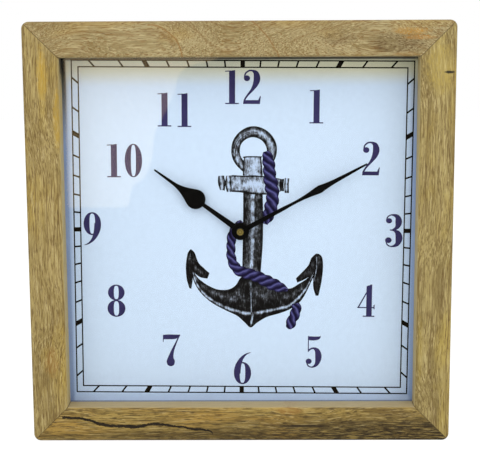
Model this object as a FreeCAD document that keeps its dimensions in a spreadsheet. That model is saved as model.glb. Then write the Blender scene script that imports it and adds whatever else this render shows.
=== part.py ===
import FreeCAD, Part
import os

import Sketcher
from FreeCAD import Placement, Rotation, Vector

# A square quartz clock in a deep, mitred wooden frame, with a printed dial behind glass.
# The frame's bottom is on the ground plane, Z is up and the dial looks along -Y. Lengths are in
# millimetres. Pieces are drawn as seen from the front: each has its own flat drawing plane, X to
# the right, Y up and Z towards the viewer, and its Placement stands it up in the clock.

doc = FreeCAD.newDocument("SquareClock")

# Driving sizes. Depths run from the frame's front face towards the wall.
sizes = {
    # frame
    "frame_width": 300,
    "frame_height": 300,
    "frame_depth": 50,
    "rail_face": 25,
    "lip_depth": 15,
    "rabbet_width": 8,
    "corner_radius": 5,
    "front_edge_radius": 2,
    "rear_edge_bevel": 1,
    # corner wedges, driven into the mitres from behind
    "wedge_leg": 6,
    "wedge_thickness": 0.6,
    "wedge_depth": 8,
    # glass, dial and the strips that hold them
    "glazing_clearance": 0.5,
    "glass_thickness": 2,
    "spacer_width": 4.5,
    "spacer_depth": 11.5,
    "paper_thickness": 0.3,
    "board_thickness": 2.7,
    "retainer_width": 7.5,
    "retainer_depth": 8,
    # keyhole hanger, let into the back of the top rail
    "hanger_width": 40,
    "hanger_height": 13,
    "hanger_thickness": 1.5,
    "hanger_inset": 0.3,
    "hanger_corner_radius": 2,
    "entry_radius": 3.75,
    "entry_drop": 2,
    "slot_width": 3.8,
    "slot_rise": 2.6,
    "cavity_width": 10,
    "cavity_height": 12.4,
    "cavity_depth": 6,
    # movement case
    "case_width": 56,
    "case_depth": 16,
    "case_wall": 1.2,
    "case_corner_radius": 3,
    "lid_thickness": 1.2,
    "cushion_width": 26,
    "cushion_thickness": 0.8,
    "bush_radius": 3.9,
    "bush_length": 6.4,
    "washer_radius": 5.2,
    "washer_thickness": 0.4,
    "nut_across_flats": 9.5,
    "nut_thickness": 1.8,
    "post_width": 3,
    "post_inset": 3.4,
    # gear train: arbor places about the hands' axis, and tooth counts
    "motion_distance": 8.4,
    "motion_angle": 160,
    "knob_angle": 200,
    "third_distance": 8.5,
    "third_angle": 20,
    "intermediate_distance": 6,
    "intermediate_angle": 100,
    "rotor_distance": 5.6,
    "rotor_angle": 70,
    "cannon_teeth": 10,
    "motion_wheel_teeth": 30,
    "motion_pinion_teeth": 8,
    "hour_wheel_teeth": 32,
    "knob_teeth": 15,
    "rotor_pinion_teeth": 6,
    "intermediate_wheel_teeth": 36,
    "intermediate_pinion_teeth": 6,
    "seconds_wheel_teeth": 30,
    "seconds_pinion_teeth": 6,
    "third_wheel_teeth": 45,
    "third_pinion_teeth": 6,
    "centre_wheel_teeth": 48,
    # tooth form, as shares of the module and of the pitch
    "addendum_share": 0.9,
    "dedendum_share": 1.15,
    "wheel_tip_share": 0.24,
    "wheel_root_share": 0.54,
    "pinion_tip_share": 0.18,
    "pinion_root_share": 0.33,
    # axial stack of the train
    "wheel_face": 0.7,
    "layer_gap": 0.3,
    "end_play": 0.2,
    "mesh_overlap": 0.1,
    "plate_thickness": 1,
    "arbor_radius": 0.5,
    "pivot_depth": 1.2,
    "boss_radius": 1.1,
    "running_clearance": 0.05,
    "seat_clearance": 0.02,
    "hour_tube_radius": 2.55,
    "hour_tube_reach": 9.6,
    "minute_shaft_radius": 1.6,
    "minute_shaft_reach": 11.2,
    "minute_spigot_radius": 1.2,
    "rivet_radius": 1.7,
    "rivet_thickness": 0.2,
    "motion_post_radius": 0.8,
    "knob_stem_radius": 1.5,
    "knob_pivot_radius": 0.6,
    "knob_radius": 4.5,
    "knob_thickness": 1.1,
    # motor and electronics
    "rotor_radius": 2.6,
    "rotor_length": 2,
    "rotor_hub_radius": 1,
    "air_gap": 0.5,
    "stator_width": 29,
    "stator_bar": 8,
    "stator_leg": 5,
    "stator_thickness": 1,
    "coil_rise": 10.5,
    "core_height": 3,
    "core_thickness": 1.2,
    "stake_width": 1.2,
    "bobbin_width": 6.8,
    "bobbin_wall": 0.5,
    "bobbin_flange": 0.6,
    "winding_width": 6,
    "winding_corner": 1.2,
    "board_inset": 1.2,
    "circuit_width": 8,
    "circuit_height": 26,
    "circuit_thickness": 1,
    "circuit_bottom": -6,
    "circuit_post_inset": 5,
    "chip_width": 5.2,
    "chip_height": 1,
    "chip_offset": 9,
    "crystal_radius": 1,
    "crystal_length": 6,
    "crystal_offset": 13,
    # battery and contacts
    "cell_radius": 7.25,
    "cell_length": 50.5,
    "cell_nub_radius": 2.75,
    "cell_nub_length": 1.2,
    "bay_height": 15,
    "bay_clearance": 0.1,
    "contact_thickness": 0.4,
    "contact_width": 5,
    "contact_drop": 4,
    "contact_tab": 2.8,
    "leaf_height": 6.4,
    "partition_slot": 0.8,
    # hands
    "hour_hand_length": 76,
    "hour_hand_angle": 306.1,
    "minute_hand_length": 103,
    "minute_hand_angle": 61.8,
    "hand_thickness": 0.5,
    "hand_tip_width": 1.2,
    "hour_hub_radius": 6.3,
    "hour_collet_radius": 3.4,
    "hour_collet_length": 1.8,
    "hour_hand_level": 8.8,
    "hour_stem_width": 4.5,
    "hour_neck_width": 2.8,
    "bulb_radius": 7.15,
    "bulb_centre_share": 0.522,
    "bulb_flank_angle": 25,
    "flank_length": 5.4,
    "taper_share": 0.8,
    "taper_width": 2.3,
    "minute_hub_radius": 6.1,
    "minute_stem_width": 4,
    "minute_neck_width": 2.55,
    "minute_neck_share": 0.36,
    "lance_share": 0.63,
    "lance_width": 5.7,
    "lance_shoulder_share": 0.6,
    "lance_shoulder_width": 5.1,
    "lance_taper_share": 0.78,
    "lance_taper_width": 2.7,
    "hand_seat_radius": 1.3,
    "hand_nut_radius": 2.7,
    "hand_nut_height": 2,
    "tip_setback": 0.3,
    # how far a cut runs past the surface that it opens, and the reach of a search for edges
    "overrun": 1,
    "edge_search": 0.01,
}

# Places and sizes that follow from them. "_front" and "_rear" in the train are depths behind
# the front of the movement case.
places = {
    "half_width": "Sizes.frame_width / 2",
    "half_height": "Sizes.frame_height / 2",
    "rail_back": "Sizes.rail_face - Sizes.rabbet_width",
    "pane_width": "Sizes.frame_width - 2 * rail_back - 2 * Sizes.glazing_clearance",
    "pane_height": "Sizes.frame_height - 2 * rail_back - 2 * Sizes.glazing_clearance",
    "glass_rear": "Sizes.lip_depth + Sizes.glass_thickness",
    "dial_front": "glass_rear + Sizes.spacer_depth",
    "board_front": "dial_front + Sizes.paper_thickness",
    "board_rear": "board_front + Sizes.board_thickness",
    "case_front": "board_rear + Sizes.cushion_thickness",
    "retainer_rear": "board_rear + Sizes.retainer_depth",
    "dial_level": "case_front - dial_front",
    "hanger_centre": "Sizes.frame_height - rail_back / 2",
    "bush_bore": "Sizes.hour_tube_radius + Sizes.running_clearance",
    "dial_hole": "Sizes.bush_radius + 2 * Sizes.running_clearance",
    "hour_bore": "Sizes.minute_shaft_radius + Sizes.running_clearance",
    "arbor_bore": "Sizes.arbor_radius + Sizes.running_clearance",
    "hour_wheel_front": "Sizes.case_wall + Sizes.end_play",
    "hour_wheel_rear": "hour_wheel_front + Sizes.wheel_face",
    "motion_wheel_front": "hour_wheel_rear + Sizes.layer_gap",
    "motion_wheel_rear": "motion_wheel_front + Sizes.wheel_face",
    "cannon_front": "motion_wheel_front - Sizes.mesh_overlap",
    "cannon_rear": "motion_wheel_rear + Sizes.mesh_overlap",
    "centre_wheel_front": "motion_wheel_rear + Sizes.layer_gap",
    "centre_wheel_rear": "centre_wheel_front + Sizes.wheel_face",
    "third_pinion_front": "centre_wheel_front - Sizes.mesh_overlap",
    "rivet_front": "centre_wheel_rear + Sizes.running_clearance",
    "rivet_rear": "rivet_front + Sizes.rivet_thickness",
    "plate_front": "rivet_rear + Sizes.end_play",
    "plate_rear": "plate_front + Sizes.plate_thickness",
    "third_wheel_front": "plate_rear + Sizes.layer_gap",
    "third_wheel_rear": "third_wheel_front + Sizes.wheel_face",
    "seconds_wheel_front": "third_wheel_rear + Sizes.layer_gap",
    "seconds_wheel_rear": "seconds_wheel_front + Sizes.wheel_face",
    "intermediate_wheel_front": "seconds_wheel_rear + Sizes.layer_gap",
    "intermediate_wheel_rear": "intermediate_wheel_front + Sizes.wheel_face",
    "rotor_front": "intermediate_wheel_rear + Sizes.layer_gap",
    "rotor_rear": "rotor_front + Sizes.rotor_length",
    "stator_front": "(rotor_front + rotor_rear - Sizes.stator_thickness) / 2",
    "stator_rear": "stator_front + Sizes.stator_thickness",
    "core_rear": "stator_rear + Sizes.core_thickness",
    "boss_front": "rotor_rear + Sizes.layer_gap",
    "pivot_rear": "boss_front + Sizes.pivot_depth",
    "lid_front": "Sizes.case_depth - Sizes.lid_thickness",
    "circuit_rear": "stator_front + Sizes.circuit_thickness",
    "motion_module": "2 * Sizes.motion_distance / (Sizes.cannon_teeth + Sizes.motion_wheel_teeth)",
    "hour_module":
        "2 * Sizes.motion_distance / (Sizes.motion_pinion_teeth + Sizes.hour_wheel_teeth)",
    "seconds_module":
        "2 * Sizes.third_distance / (Sizes.seconds_pinion_teeth + Sizes.third_wheel_teeth)",
    "centre_module":
        "2 * Sizes.third_distance / (Sizes.third_pinion_teeth + Sizes.centre_wheel_teeth)",
    "intermediate_module": "2 * Sizes.intermediate_distance"
        " / (Sizes.intermediate_pinion_teeth + Sizes.seconds_wheel_teeth)",
    "rotor_module": "2 * Sizes.rotor_distance"
        " / (Sizes.rotor_pinion_teeth + Sizes.intermediate_wheel_teeth)",
    "knob_distance": "motion_module * (Sizes.motion_wheel_teeth + Sizes.knob_teeth) / 2",
    "motion_x": "Sizes.motion_distance * cos(Sizes.motion_angle)",
    "motion_y": "Sizes.motion_distance * sin(Sizes.motion_angle)",
    "knob_x": "motion_x + knob_distance * cos(Sizes.knob_angle)",
    "knob_y": "motion_y + knob_distance * sin(Sizes.knob_angle)",
    "third_x": "Sizes.third_distance * cos(Sizes.third_angle)",
    "third_y": "Sizes.third_distance * sin(Sizes.third_angle)",
    "intermediate_x": "Sizes.intermediate_distance * cos(Sizes.intermediate_angle)",
    "intermediate_y": "Sizes.intermediate_distance * sin(Sizes.intermediate_angle)",
    "rotor_x": "intermediate_x + Sizes.rotor_distance * cos(Sizes.rotor_angle)",
    "rotor_y": "intermediate_y + Sizes.rotor_distance * sin(Sizes.rotor_angle)",
    "coil_y": "rotor_y + Sizes.coil_rise",
    "leg_reach": "(Sizes.stator_width - Sizes.stator_leg) / 2",
    "case_half": "Sizes.case_width / 2",
    "case_inside": "case_half - Sizes.case_wall",
    "inner_corner": "Sizes.case_corner_radius - Sizes.case_wall",
    "bay_top": "Sizes.bay_height - case_inside",
    "chamber_bottom": "bay_top + Sizes.case_wall",
    "plate_half": "case_inside - Sizes.layer_gap",
    "plate_bottom": "chamber_bottom + Sizes.layer_gap",
    "post_x": "case_half - Sizes.post_inset",
    "post_top": "case_half - Sizes.post_inset",
    "post_bottom": "chamber_bottom + Sizes.post_width / 2 + Sizes.layer_gap",
    "cell_y": "Sizes.bay_height / 2 - case_inside",
    "cell_level": "Sizes.case_wall + Sizes.bay_clearance + Sizes.cell_radius",
    "contact_face": "case_inside - Sizes.contact_thickness",
    "cell_rear_x": "contact_face - Sizes.running_clearance - Sizes.cell_length",
    "contact_level": "cell_level - Sizes.contact_width / 2",
    "circuit_right": "case_inside - Sizes.board_inset",
    "circuit_x": "circuit_right - Sizes.circuit_width / 2",
    "circuit_top": "Sizes.circuit_bottom + Sizes.circuit_height",
    "hour_hand_front": "Sizes.hour_hand_level + Sizes.hand_thickness",
    "minute_hand_front": "Sizes.minute_shaft_reach + Sizes.hand_thickness",
    "nut_front": "minute_hand_front + Sizes.hand_nut_height",
    "thread_tip": "nut_front - Sizes.tip_setback",
}

sheet = doc.addObject("Spreadsheet::Sheet", "Sizes")
for row, (name, number) in enumerate(sizes.items(), 1):
    sheet.set(f"A{row}", name)
    sheet.set(f"B{row}", str(number))
    sheet.setAlias(f"B{row}", name)
results = doc.addObject("Spreadsheet::Sheet", "Places")
for row, (name, formula) in enumerate(places.items(), 1):
    results.set(f"A{row}", name)
    results.set(f"B{row}", "=" + formula)
    results.setAlias(f"B{row}", name)
doc.recompute()

frontView = Rotation(Vector(1, 0, 0), 90)
nodes = []


def value(formula):
    """The number that a formula over the two sheets gives."""
    answer = sheet.evalExpression(formula)
    return getattr(answer, "Value", answer)


def newBody(name, depth, x="0", height="0", turn=0, apart=False):
    """A piece drawn from the front, its drawing plane `depth` behind the frame's front face and
    its origin x and height from the clock's centre, turned anticlockwise by `turn` degrees."""
    body = doc.addObject("PartDesign::Body", name)
    body.Label = name
    body.AllowCompound = apart
    body.Placement = Placement(Vector(), frontView * Rotation(Vector(0, 0, 1), turn))
    body.setExpression("Placement.Base.x", x)
    body.setExpression("Placement.Base.y", f"{depth} - Sizes.frame_depth / 2")
    body.setExpression("Placement.Base.z", f"Places.half_height + {height}")
    nodes.append(body)
    return body


def origin(body, role):
    """One of a body's own planes or axes."""
    return next(part for part in body.Origin.OriginFeatures if part.Role == role)


def newSketch(body, name, level, turn=0):
    """A sketch on the drawing plane, raised to a level and turned about the body's axis."""
    sketch = body.newObject("Sketcher::SketchObject", f"{body.Label}_{name}")
    sketch.AttachmentSupport = (origin(body, "XY_Plane"), [""])
    sketch.MapMode = "FlatFace"
    sketch.AttachmentOffset = Placement(Vector(), Rotation(Vector(0, 0, 1), turn))
    sketch.setExpression("AttachmentOffset.Base.z", level)
    return sketch


def bind(sketch, kind, formula, *where):
    """A constraint whose value is a formula over the sheets."""
    number = sketch.addConstraint(Sketcher.Constraint(kind, *where, value(formula)))
    if kind == "Radius":
        label = f"radius{number}"
    else:
        label = f"place{number}"
    sketch.renameConstraint(number, label)
    sketch.setExpression(f"Constraints.{label}", formula)


def arcMiddle(start, end, radius):
    """A point halfway along the shorter arc from start to end. A positive radius bulges to the
    right of the way from start to end, so outwards on a line drawn anticlockwise."""
    chord = end - start
    side = Vector(-chord.y, chord.x, 0).normalize()
    rise = max(radius * radius - chord.Length * chord.Length / 4, 0) ** 0.5
    sagitta = abs(radius) - rise
    return (start + end) * 0.5 - side * (sagitta if radius > 0 else -sagitta)


def addLoop(sketch, points):
    """A closed line through points given as pairs of formulas, drawn anticlockwise. A point with
    a third formula is reached by an arc of that radius, hollow where it starts with a minus."""
    first = sketch.GeometryCount
    spots = [Vector(value(point[0]), value(point[1]), 0) for point in points]
    ends = []
    for index, start in enumerate(spots):
        following = (index + 1) % len(spots)
        end = spots[following]
        if len(points[following]) == 2:
            sketch.addGeometry(Part.LineSegment(start, end))
            ends.append((1, 2))
            continue
        radius = value(points[following][2])
        sketch.addGeometry(Part.Arc(start, arcMiddle(start, end, radius), end))
        ends.append((1, 2) if radius > 0 else (2, 1))
    for index, point in enumerate(points):
        following = (index + 1) % len(points)
        joint = (first + index, ends[index][1], first + following, ends[following][0])
        sketch.addConstraint(Sketcher.Constraint("Coincident", *joint))
        bind(sketch, "DistanceX", point[0], -1, 1, first + index, ends[index][0])
        bind(sketch, "DistanceY", point[1], -1, 1, first + index, ends[index][0])
        if len(points[following]) == 3:
            bind(sketch, "Radius", points[following][2].lstrip("-"), first + index)


def outline(body, name, points, level="0", turn=0):
    """A sketch of one closed line."""
    sketch = newSketch(body, name, level, turn)
    addLoop(sketch, points)
    return sketch


def circles(body, name, rings, level="0"):
    """Circles given as (x, y, radius) formulas."""
    sketch = newSketch(body, name, level)
    for index, (x, y, radius) in enumerate(rings):
        centre = Vector(value(x), value(y), 0)
        sketch.addGeometry(Part.Circle(centre, Vector(0, 0, 1), value(radius)))
        bind(sketch, "Radius", radius, index)
        bind(sketch, "DistanceX", x, -1, 1, index, 3)
        bind(sketch, "DistanceY", y, -1, 1, index, 3)
    return sketch


def disc(body, name, radius, level="0"):
    return circles(body, name, [("0", "0", radius)], level)


def box(left, bottom, right, top):
    """The corners of an upright rectangle."""
    return [(left, bottom), (right, bottom), (right, top), (left, top)]


def squares(body, name, spots, width, level="0"):
    """Squares of one width about points given as pairs of formulas."""
    sketch = newSketch(body, name, level)
    half = f"({width}) / 2"
    for x, y in spots:
        addLoop(sketch, box(f"{x} - {half}", f"{y} - {half}", f"{x} + {half}", f"{y} + {half}"))
    return sketch


def roundedBox(left, bottom, right, top, radius):
    """The corners of a rectangle whose own corners are rounded."""
    return [
        (f"{left} + {radius}", bottom, radius),
        (f"{right} - {radius}", bottom),
        (right, f"{bottom} + {radius}", radius),
        (right, f"{top} - {radius}"),
        (f"{right} - {radius}", top, radius),
        (f"{left} + {radius}", top),
        (left, f"{top} - {radius}", radius),
        (left, f"{bottom} + {radius}"),
    ]


def pad(body, sketch, length):
    """Material from the sketch's level towards the viewer."""
    feature = body.newObject("PartDesign::Pad", f"{sketch.Label}_pad")
    feature.Profile = sketch
    feature.setExpression("Length", length)
    doc.recompute()
    return feature


def cut(body, sketch, length):
    """A pocket from the sketch's level towards the viewer, which has to remove material."""
    before = body.Shape.Volume
    feature = body.newObject("PartDesign::Pocket", f"{sketch.Label}_cut")
    feature.Profile = sketch
    feature.Reversed = True
    feature.setExpression("Length", length)
    doc.recompute()
    if body.Shape.Volume >= before:
        raise RuntimeError(f"{sketch.Label} cuts nothing")
    return feature


def soften(body, name, kind, edges, size):
    """A fillet or a chamfer along edges of the body's last feature."""
    base = body.Tip
    chosen = [f"Edge{at}" for at, edge in enumerate(base.Shape.Edges, 1) if edges(edge.BoundBox)]
    feature = body.newObject(f"PartDesign::{kind}", f"{body.Label}_{name}")
    feature.Base = (base, chosen)
    feature.setExpression("Radius" if kind == "Fillet" else "Size", size)
    doc.recompute()
    return feature


# Frame: four rails, mitred at 45 degrees, with a rabbet behind the lip for glass and dial.

def cornerWedge(half, reach, alongX, alongY):
    """The L of a wedge at the corner where two rails meet, signs saying which corner."""
    middle = "Places.rail_back / 2"
    web = "Sizes.wedge_thickness / 2"
    leg = "Sizes.wedge_leg"
    corner = [
        (f"{half} - {middle} + {web}", f"{reach} - {middle} + {web}"),
        (f"{half} - {middle} - {leg}", f"{reach} - {middle} + {web}"),
        (f"{half} - {middle} - {leg}", f"{reach} - {middle} - {web}"),
        (f"{half} - {middle} - {web}", f"{reach} - {middle} - {web}"),
        (f"{half} - {middle} - {web}", f"{reach} - {middle} - {leg}"),
        (f"{half} - {middle} + {web}", f"{reach} - {middle} - {leg}"),
    ]
    return [(f"{alongX} * ({x})", f"{alongY} * ({y})") for x, y in corner]


def frameRail(name, half, reach, turn):
    """A rail along X below the centre, half its length and its outer edge's distance given."""
    body = newBody(name, "Sizes.frame_depth", turn=turn)
    radius = "Sizes.corner_radius"
    near = f"(1 - cos(45)) * {radius}"
    face = "Sizes.rail_face"
    plan = [
        (f"{half} - {radius}", f"-{reach}"),
        (f"{half} - {near}", f"{near} - {reach}", radius),
        (f"{half} - {face}", f"{face} - {reach}"),
        (f"{face} - {half}", f"{face} - {reach}"),
        (f"{near} - {half}", f"{near} - {reach}"),
        (f"{radius} - {half}", f"-{reach}", radius),
    ]
    pad(body, outline(body, "plan", plan), "Sizes.frame_depth")
    rabbetTop = f"{face} - {reach} + Sizes.overrun"
    rabbet = box(f"-{half}", f"Places.rail_back - {reach}", half, rabbetTop)
    rabbetDepth = "Sizes.frame_depth - Sizes.lip_depth"
    cut(body, outline(body, "rabbet", rabbet, "0"), rabbetDepth)

    top = value("Sizes.frame_depth")
    touch = value("Sizes.edge_search")
    outer = value(f"{near} - {reach}")
    inner = value(f"{face} - {reach}")

    def frontEdge(edge):
        level = edge.ZMin > top - touch
        return level and (edge.YMax < outer + touch or edge.YMin > inner - touch)

    def rearEdge(edge):
        return edge.ZMax < touch and edge.YMax < outer + touch

    soften(body, "front_edges", "Fillet", frontEdge, "Sizes.front_edge_radius")
    soften(body, "rear_edge", "Chamfer", rearEdge, "Sizes.rear_edge_bevel")

    # slots for one leg of each corner wedge
    line = f"Places.rail_back / 2 - {reach}"
    gap = "(Sizes.wedge_thickness / 2 + Sizes.seat_clearance)"
    outerEnd = f"({half} - Places.rail_back / 2 + Sizes.wedge_thickness)"
    innerEnd = f"({half} - Places.rail_back / 2 - Sizes.wedge_leg - Sizes.seat_clearance)"
    ends = ((innerEnd, outerEnd), (f"-{outerEnd}", f"-{innerEnd}"))
    for index, (left, right) in enumerate(ends):
        slot = box(left, f"{line} - {gap}", right, f"{line} + {gap}")
        slotDepth = "Sizes.wedge_depth + Sizes.seat_clearance"
        cut(body, outline(body, f"wedge_slot{index}", slot), slotDepth)
    return body


frameRail("frame_bottom_rail", "Places.half_width", "Places.half_height", 0)
frameRail("frame_right_stile", "Places.half_height", "Places.half_width", 90)
topRail = frameRail("frame_top_rail", "Places.half_width", "Places.half_height", 180)
frameRail("frame_left_stile", "Places.half_height", "Places.half_width", 270)

wedges = newBody("corner_wedges", "Sizes.frame_depth", apart=True)
for index, (alongX, alongY) in enumerate(((1, 1), (-1, 1), (-1, -1), (1, -1))):
    plan = cornerWedge("Places.half_width", "Places.half_height", alongX, alongY)
    if alongX * alongY < 0:
        plan.reverse()
    pad(wedges, outline(wedges, f"wedge{index}", plan), "Sizes.wedge_depth")

# Hanger: a keyhole plate flush with the back of the top rail, over a hollow for a screw head.
# The top rail is drawn upside down, so its outer edge is at the bottom of its drawing.
hangerLine = "(Places.rail_back / 2 - Places.half_height)"
plateHalf = "(Sizes.hanger_width / 2 + Sizes.seat_clearance)"
plateRise = "(Sizes.hanger_height / 2 + Sizes.seat_clearance)"
mortiseRadius = "Sizes.hanger_corner_radius"
mortise = roundedBox(
    f"-{plateHalf}",
    f"{hangerLine} - {plateRise}",
    plateHalf,
    f"{hangerLine} + {plateRise}",
    mortiseRadius,
)
mortiseDepth = "Sizes.hanger_inset + Sizes.hanger_thickness"
cut(topRail, outline(topRail, "mortise", mortise), mortiseDepth)
hollow = box(
    "-Sizes.cavity_width / 2",
    f"{hangerLine} - Sizes.cavity_height / 2",
    "Sizes.cavity_width / 2",
    f"{hangerLine} + Sizes.cavity_height / 2",
)
cut(topRail, outline(topRail, "hollow", hollow), f"{mortiseDepth} + Sizes.cavity_depth")

hangerHeight = "(Places.hanger_centre - Places.half_height)"
hangerDepth = "Sizes.frame_depth - Sizes.hanger_inset"
hanger = newBody("hanger_plate", hangerDepth, height=hangerHeight)
plate = roundedBox(
    "-Sizes.hanger_width / 2",
    "-Sizes.hanger_height / 2",
    "Sizes.hanger_width / 2",
    "Sizes.hanger_height / 2",
    "Sizes.hanger_corner_radius",
)
pad(hanger, outline(hanger, "plate", plate), "Sizes.hanger_thickness")
slotHalf = "Sizes.slot_width / 2"
shoulder = f"(sqrt(Sizes.entry_radius ^ 2 - ({slotHalf}) ^ 2) - Sizes.entry_drop)"
keyhole = [
    (slotHalf, shoulder),
    (slotHalf, "Sizes.slot_rise"),
    ("0", f"Sizes.slot_rise + {slotHalf}", slotHalf),
    (f"-{slotHalf}", "Sizes.slot_rise", slotHalf),
    (f"-{slotHalf}", shoulder),
    ("0", "-Sizes.entry_drop - Sizes.entry_radius", "Sizes.entry_radius"),
    (slotHalf, shoulder, "Sizes.entry_radius"),
]
keyhole[0] = keyhole.pop()
cut(hanger, outline(hanger, "keyhole", keyhole), "Sizes.hanger_thickness")

# Glass, dial and strips, all sized to the rabbet.

def panel(name, depth, thickness, hole=None):
    """A sheet that fills the rabbet, its rear face at a depth."""
    body = newBody(name, depth)
    sides = box(
        "-Places.pane_width / 2",
        "-Places.pane_height / 2",
        "Places.pane_width / 2",
        "Places.pane_height / 2",
    )
    pad(body, outline(body, "sheet", sides), thickness)
    if hole:
        cut(body, disc(body, "hole", hole), thickness)
    return body


panel("glass_pane", "Places.glass_rear", "Sizes.glass_thickness")
panel("dial_face", "Places.board_front", "Sizes.paper_thickness", "Places.dial_hole")
panel("dial_board", "Places.board_rear", "Sizes.board_thickness", "Places.dial_hole")


def strips(kind, depth, width, thickness):
    """Four strips round the rabbet: two across its width and two between them."""
    across = "Places.pane_width / 2"
    upright = "Places.pane_height / 2"
    between = f"({upright} - {width})"
    plans = {
        "bottom": box(f"-{across}", f"-{upright}", across, f"-{between}"),
        "top": box(f"-{across}", between, across, upright),
        "left": box(f"-{across}", f"-{between}", f"{width} - {across}", between),
        "right": box(f"{across} - {width}", f"-{between}", across, between),
    }
    for side, plan in plans.items():
        strip = newBody(f"{kind}_{side}", depth)
        pad(strip, outline(strip, "plan", plan), thickness)


strips("spacer", "Places.dial_front", "Sizes.spacer_width", "Sizes.spacer_depth")
strips("retainer", "Places.retainer_rear", "Sizes.retainer_width", "Sizes.retainer_depth")

# Movement case: a tray with a threaded bush through the dial, and a lid behind. From here on
# drawing planes lie on the tray's front face, so what is inside has negative levels.

def newInner(name, x="0", y="0", turn=0, apart=False):
    return newBody(name, "Places.case_front", x, y, turn, apart)


def between(front, rear):
    """The level and the length of something from a front depth to a rear depth."""
    return f"-({rear})", f"{rear} - ({front})"


def ring(body, name, radius, front, rear):
    """A round length of a body from one depth to another."""
    level, length = between(front, rear)
    return pad(body, disc(body, name, radius, level), length)


def bore(body, name, radius, front, rear, x="0", y="0"):
    """A round hole of a body from one depth to another."""
    level, length = between(front, rear)
    return cut(body, circles(body, name, [(x, y, radius)], level), length)


tray = newInner("case_front")
half = "Places.case_half"
level, length = between("0", "Places.lid_front")
shell = roundedBox(f"-{half}", f"-{half}", half, half, "Sizes.case_corner_radius")
pad(tray, outline(tray, "shell", shell, level), length)
inside = "Places.case_inside"
level, length = between("Sizes.case_wall", "Places.lid_front")
chamber = roundedBox(f"-{inside}", f"-{inside}", inside, inside, "Places.inner_corner")
cut(tray, outline(tray, "chamber", chamber, level), length)
partitionEnd = f"({inside} - Sizes.partition_slot)"
partition = box(f"-{partitionEnd}", "Places.bay_top", partitionEnd, "Places.chamber_bottom")
pad(tray, outline(tray, "partition", partition, level), length)
pad(tray, disc(tray, "bush", "Sizes.bush_radius"), "Sizes.bush_length")
bore(tray, "bush_bore", "Places.bush_bore", "-Sizes.bush_length", "Sizes.case_wall")
corners = [(x, y)
           for x in ("-Places.post_x", "Places.post_x")
           for y in ("Places.post_bottom", "Places.post_top")]
level, length = between("Sizes.case_wall", "Places.plate_front")
pad(tray, squares(tray, "posts", corners, "Sizes.post_width", level), length)
level, length = between("Sizes.case_wall", "Places.motion_wheel_rear")
motionPost = [("Places.motion_x", "Places.motion_y", "Sizes.motion_post_radius")]
pad(tray, circles(tray, "motion_post", motionPost, level), length)
thirdBossEnd = "Places.third_pinion_front - Sizes.mesh_overlap"
level, length = between("Sizes.case_wall", thirdBossEnd)
thirdBoss = [("Places.third_x", "Places.third_y", "Sizes.boss_radius")]
pad(tray, circles(tray, "third_boss", thirdBoss, level), length)
bore(tray, "third_pivot", "Places.arbor_bore", "Sizes.case_wall", thirdBossEnd,
     "Places.third_x", "Places.third_y")
knobPivotBore = "Sizes.knob_pivot_radius + Sizes.running_clearance"
bore(tray, "knob_pivot", knobPivotBore, "Sizes.case_wall / 2", "Sizes.case_wall",
     "Places.knob_x", "Places.knob_y")

lid = newInner("case_back")
level, length = between("Places.lid_front", "Sizes.case_depth")
pad(lid, outline(lid, "cover", shell, level), length)
mouthInset = "Sizes.partition_slot"
mouth = roundedBox(
    f"{mouthInset} - {inside}",
    f"Sizes.bay_clearance - {inside}",
    f"{inside} - {mouthInset}",
    "Places.bay_top - Sizes.bay_clearance",
    "Places.inner_corner",
)
cut(lid, outline(lid, "mouth", mouth, level), length)
stemBore = "Sizes.knob_stem_radius + Sizes.running_clearance"
bore(lid, "stem_hole", stemBore, "Places.lid_front", "Sizes.case_depth",
     "Places.knob_x", "Places.knob_y")
level, length = between("Places.boss_front", "Places.lid_front")
block = box(
    "Places.intermediate_x - Sizes.boss_radius",
    "-Sizes.boss_radius",
    "Places.third_x + Sizes.boss_radius",
    "Places.rotor_y + Sizes.boss_radius",
)
pad(lid, outline(lid, "bearing_block", block, level), length)
pivots = [
    ("0", "0", "Places.arbor_bore"),
    ("Places.third_x", "Places.third_y", "Places.arbor_bore"),
    ("Places.intermediate_x", "Places.intermediate_y", "Places.arbor_bore"),
    ("Places.rotor_x", "Places.rotor_y", "Places.arbor_bore"),
]
level, length = between("Places.boss_front", "Places.pivot_rear + Sizes.end_play")
cut(lid, circles(lid, "pivots", pivots, level), length)

gearPlate = newInner("gear_plate")
level, length = between("Places.plate_front", "Places.plate_rear")
plateEdge = roundedBox(
    "-Places.plate_half",
    "Places.plate_bottom",
    "Places.plate_half",
    "Places.plate_half",
    "Places.inner_corner",
)
pad(gearPlate, outline(gearPlate, "plate", plateEdge, level), length)
plateHoles = [
    ("0", "0", "Places.arbor_bore"),
    ("Places.third_x", "Places.third_y", "Places.arbor_bore"),
    ("Places.intermediate_x", "Places.intermediate_y", "Places.arbor_bore"),
    ("Places.rotor_x", "Places.rotor_y", "Places.arbor_bore"),
    ("Places.knob_x", "Places.knob_y", stemBore),
]
cut(gearPlate, circles(gearPlate, "holes", plateHoles, level), length)
stakes = [(f"Places.rotor_x + {side} * Places.leg_reach", "Places.coil_y") for side in (-1, 1)]
level, length = between("Places.plate_rear", "Places.stator_front")
pad(gearPlate, squares(gearPlate, "stator_posts", stakes, "Sizes.post_width", level), length)
boardPosts = [
    ("Places.circuit_x", "Sizes.circuit_bottom + Sizes.circuit_post_inset"),
    ("Places.circuit_x", "Places.circuit_top - Sizes.circuit_post_inset"),
]
circuitPosts = squares(gearPlate, "circuit_posts", boardPosts, "Sizes.post_width", level)
pad(gearPlate, circuitPosts, length)
level, length = between("Places.stator_front", "Places.core_rear")
pad(gearPlate, squares(gearPlate, "stakes", stakes, "Sizes.stake_width", level), length)

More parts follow.
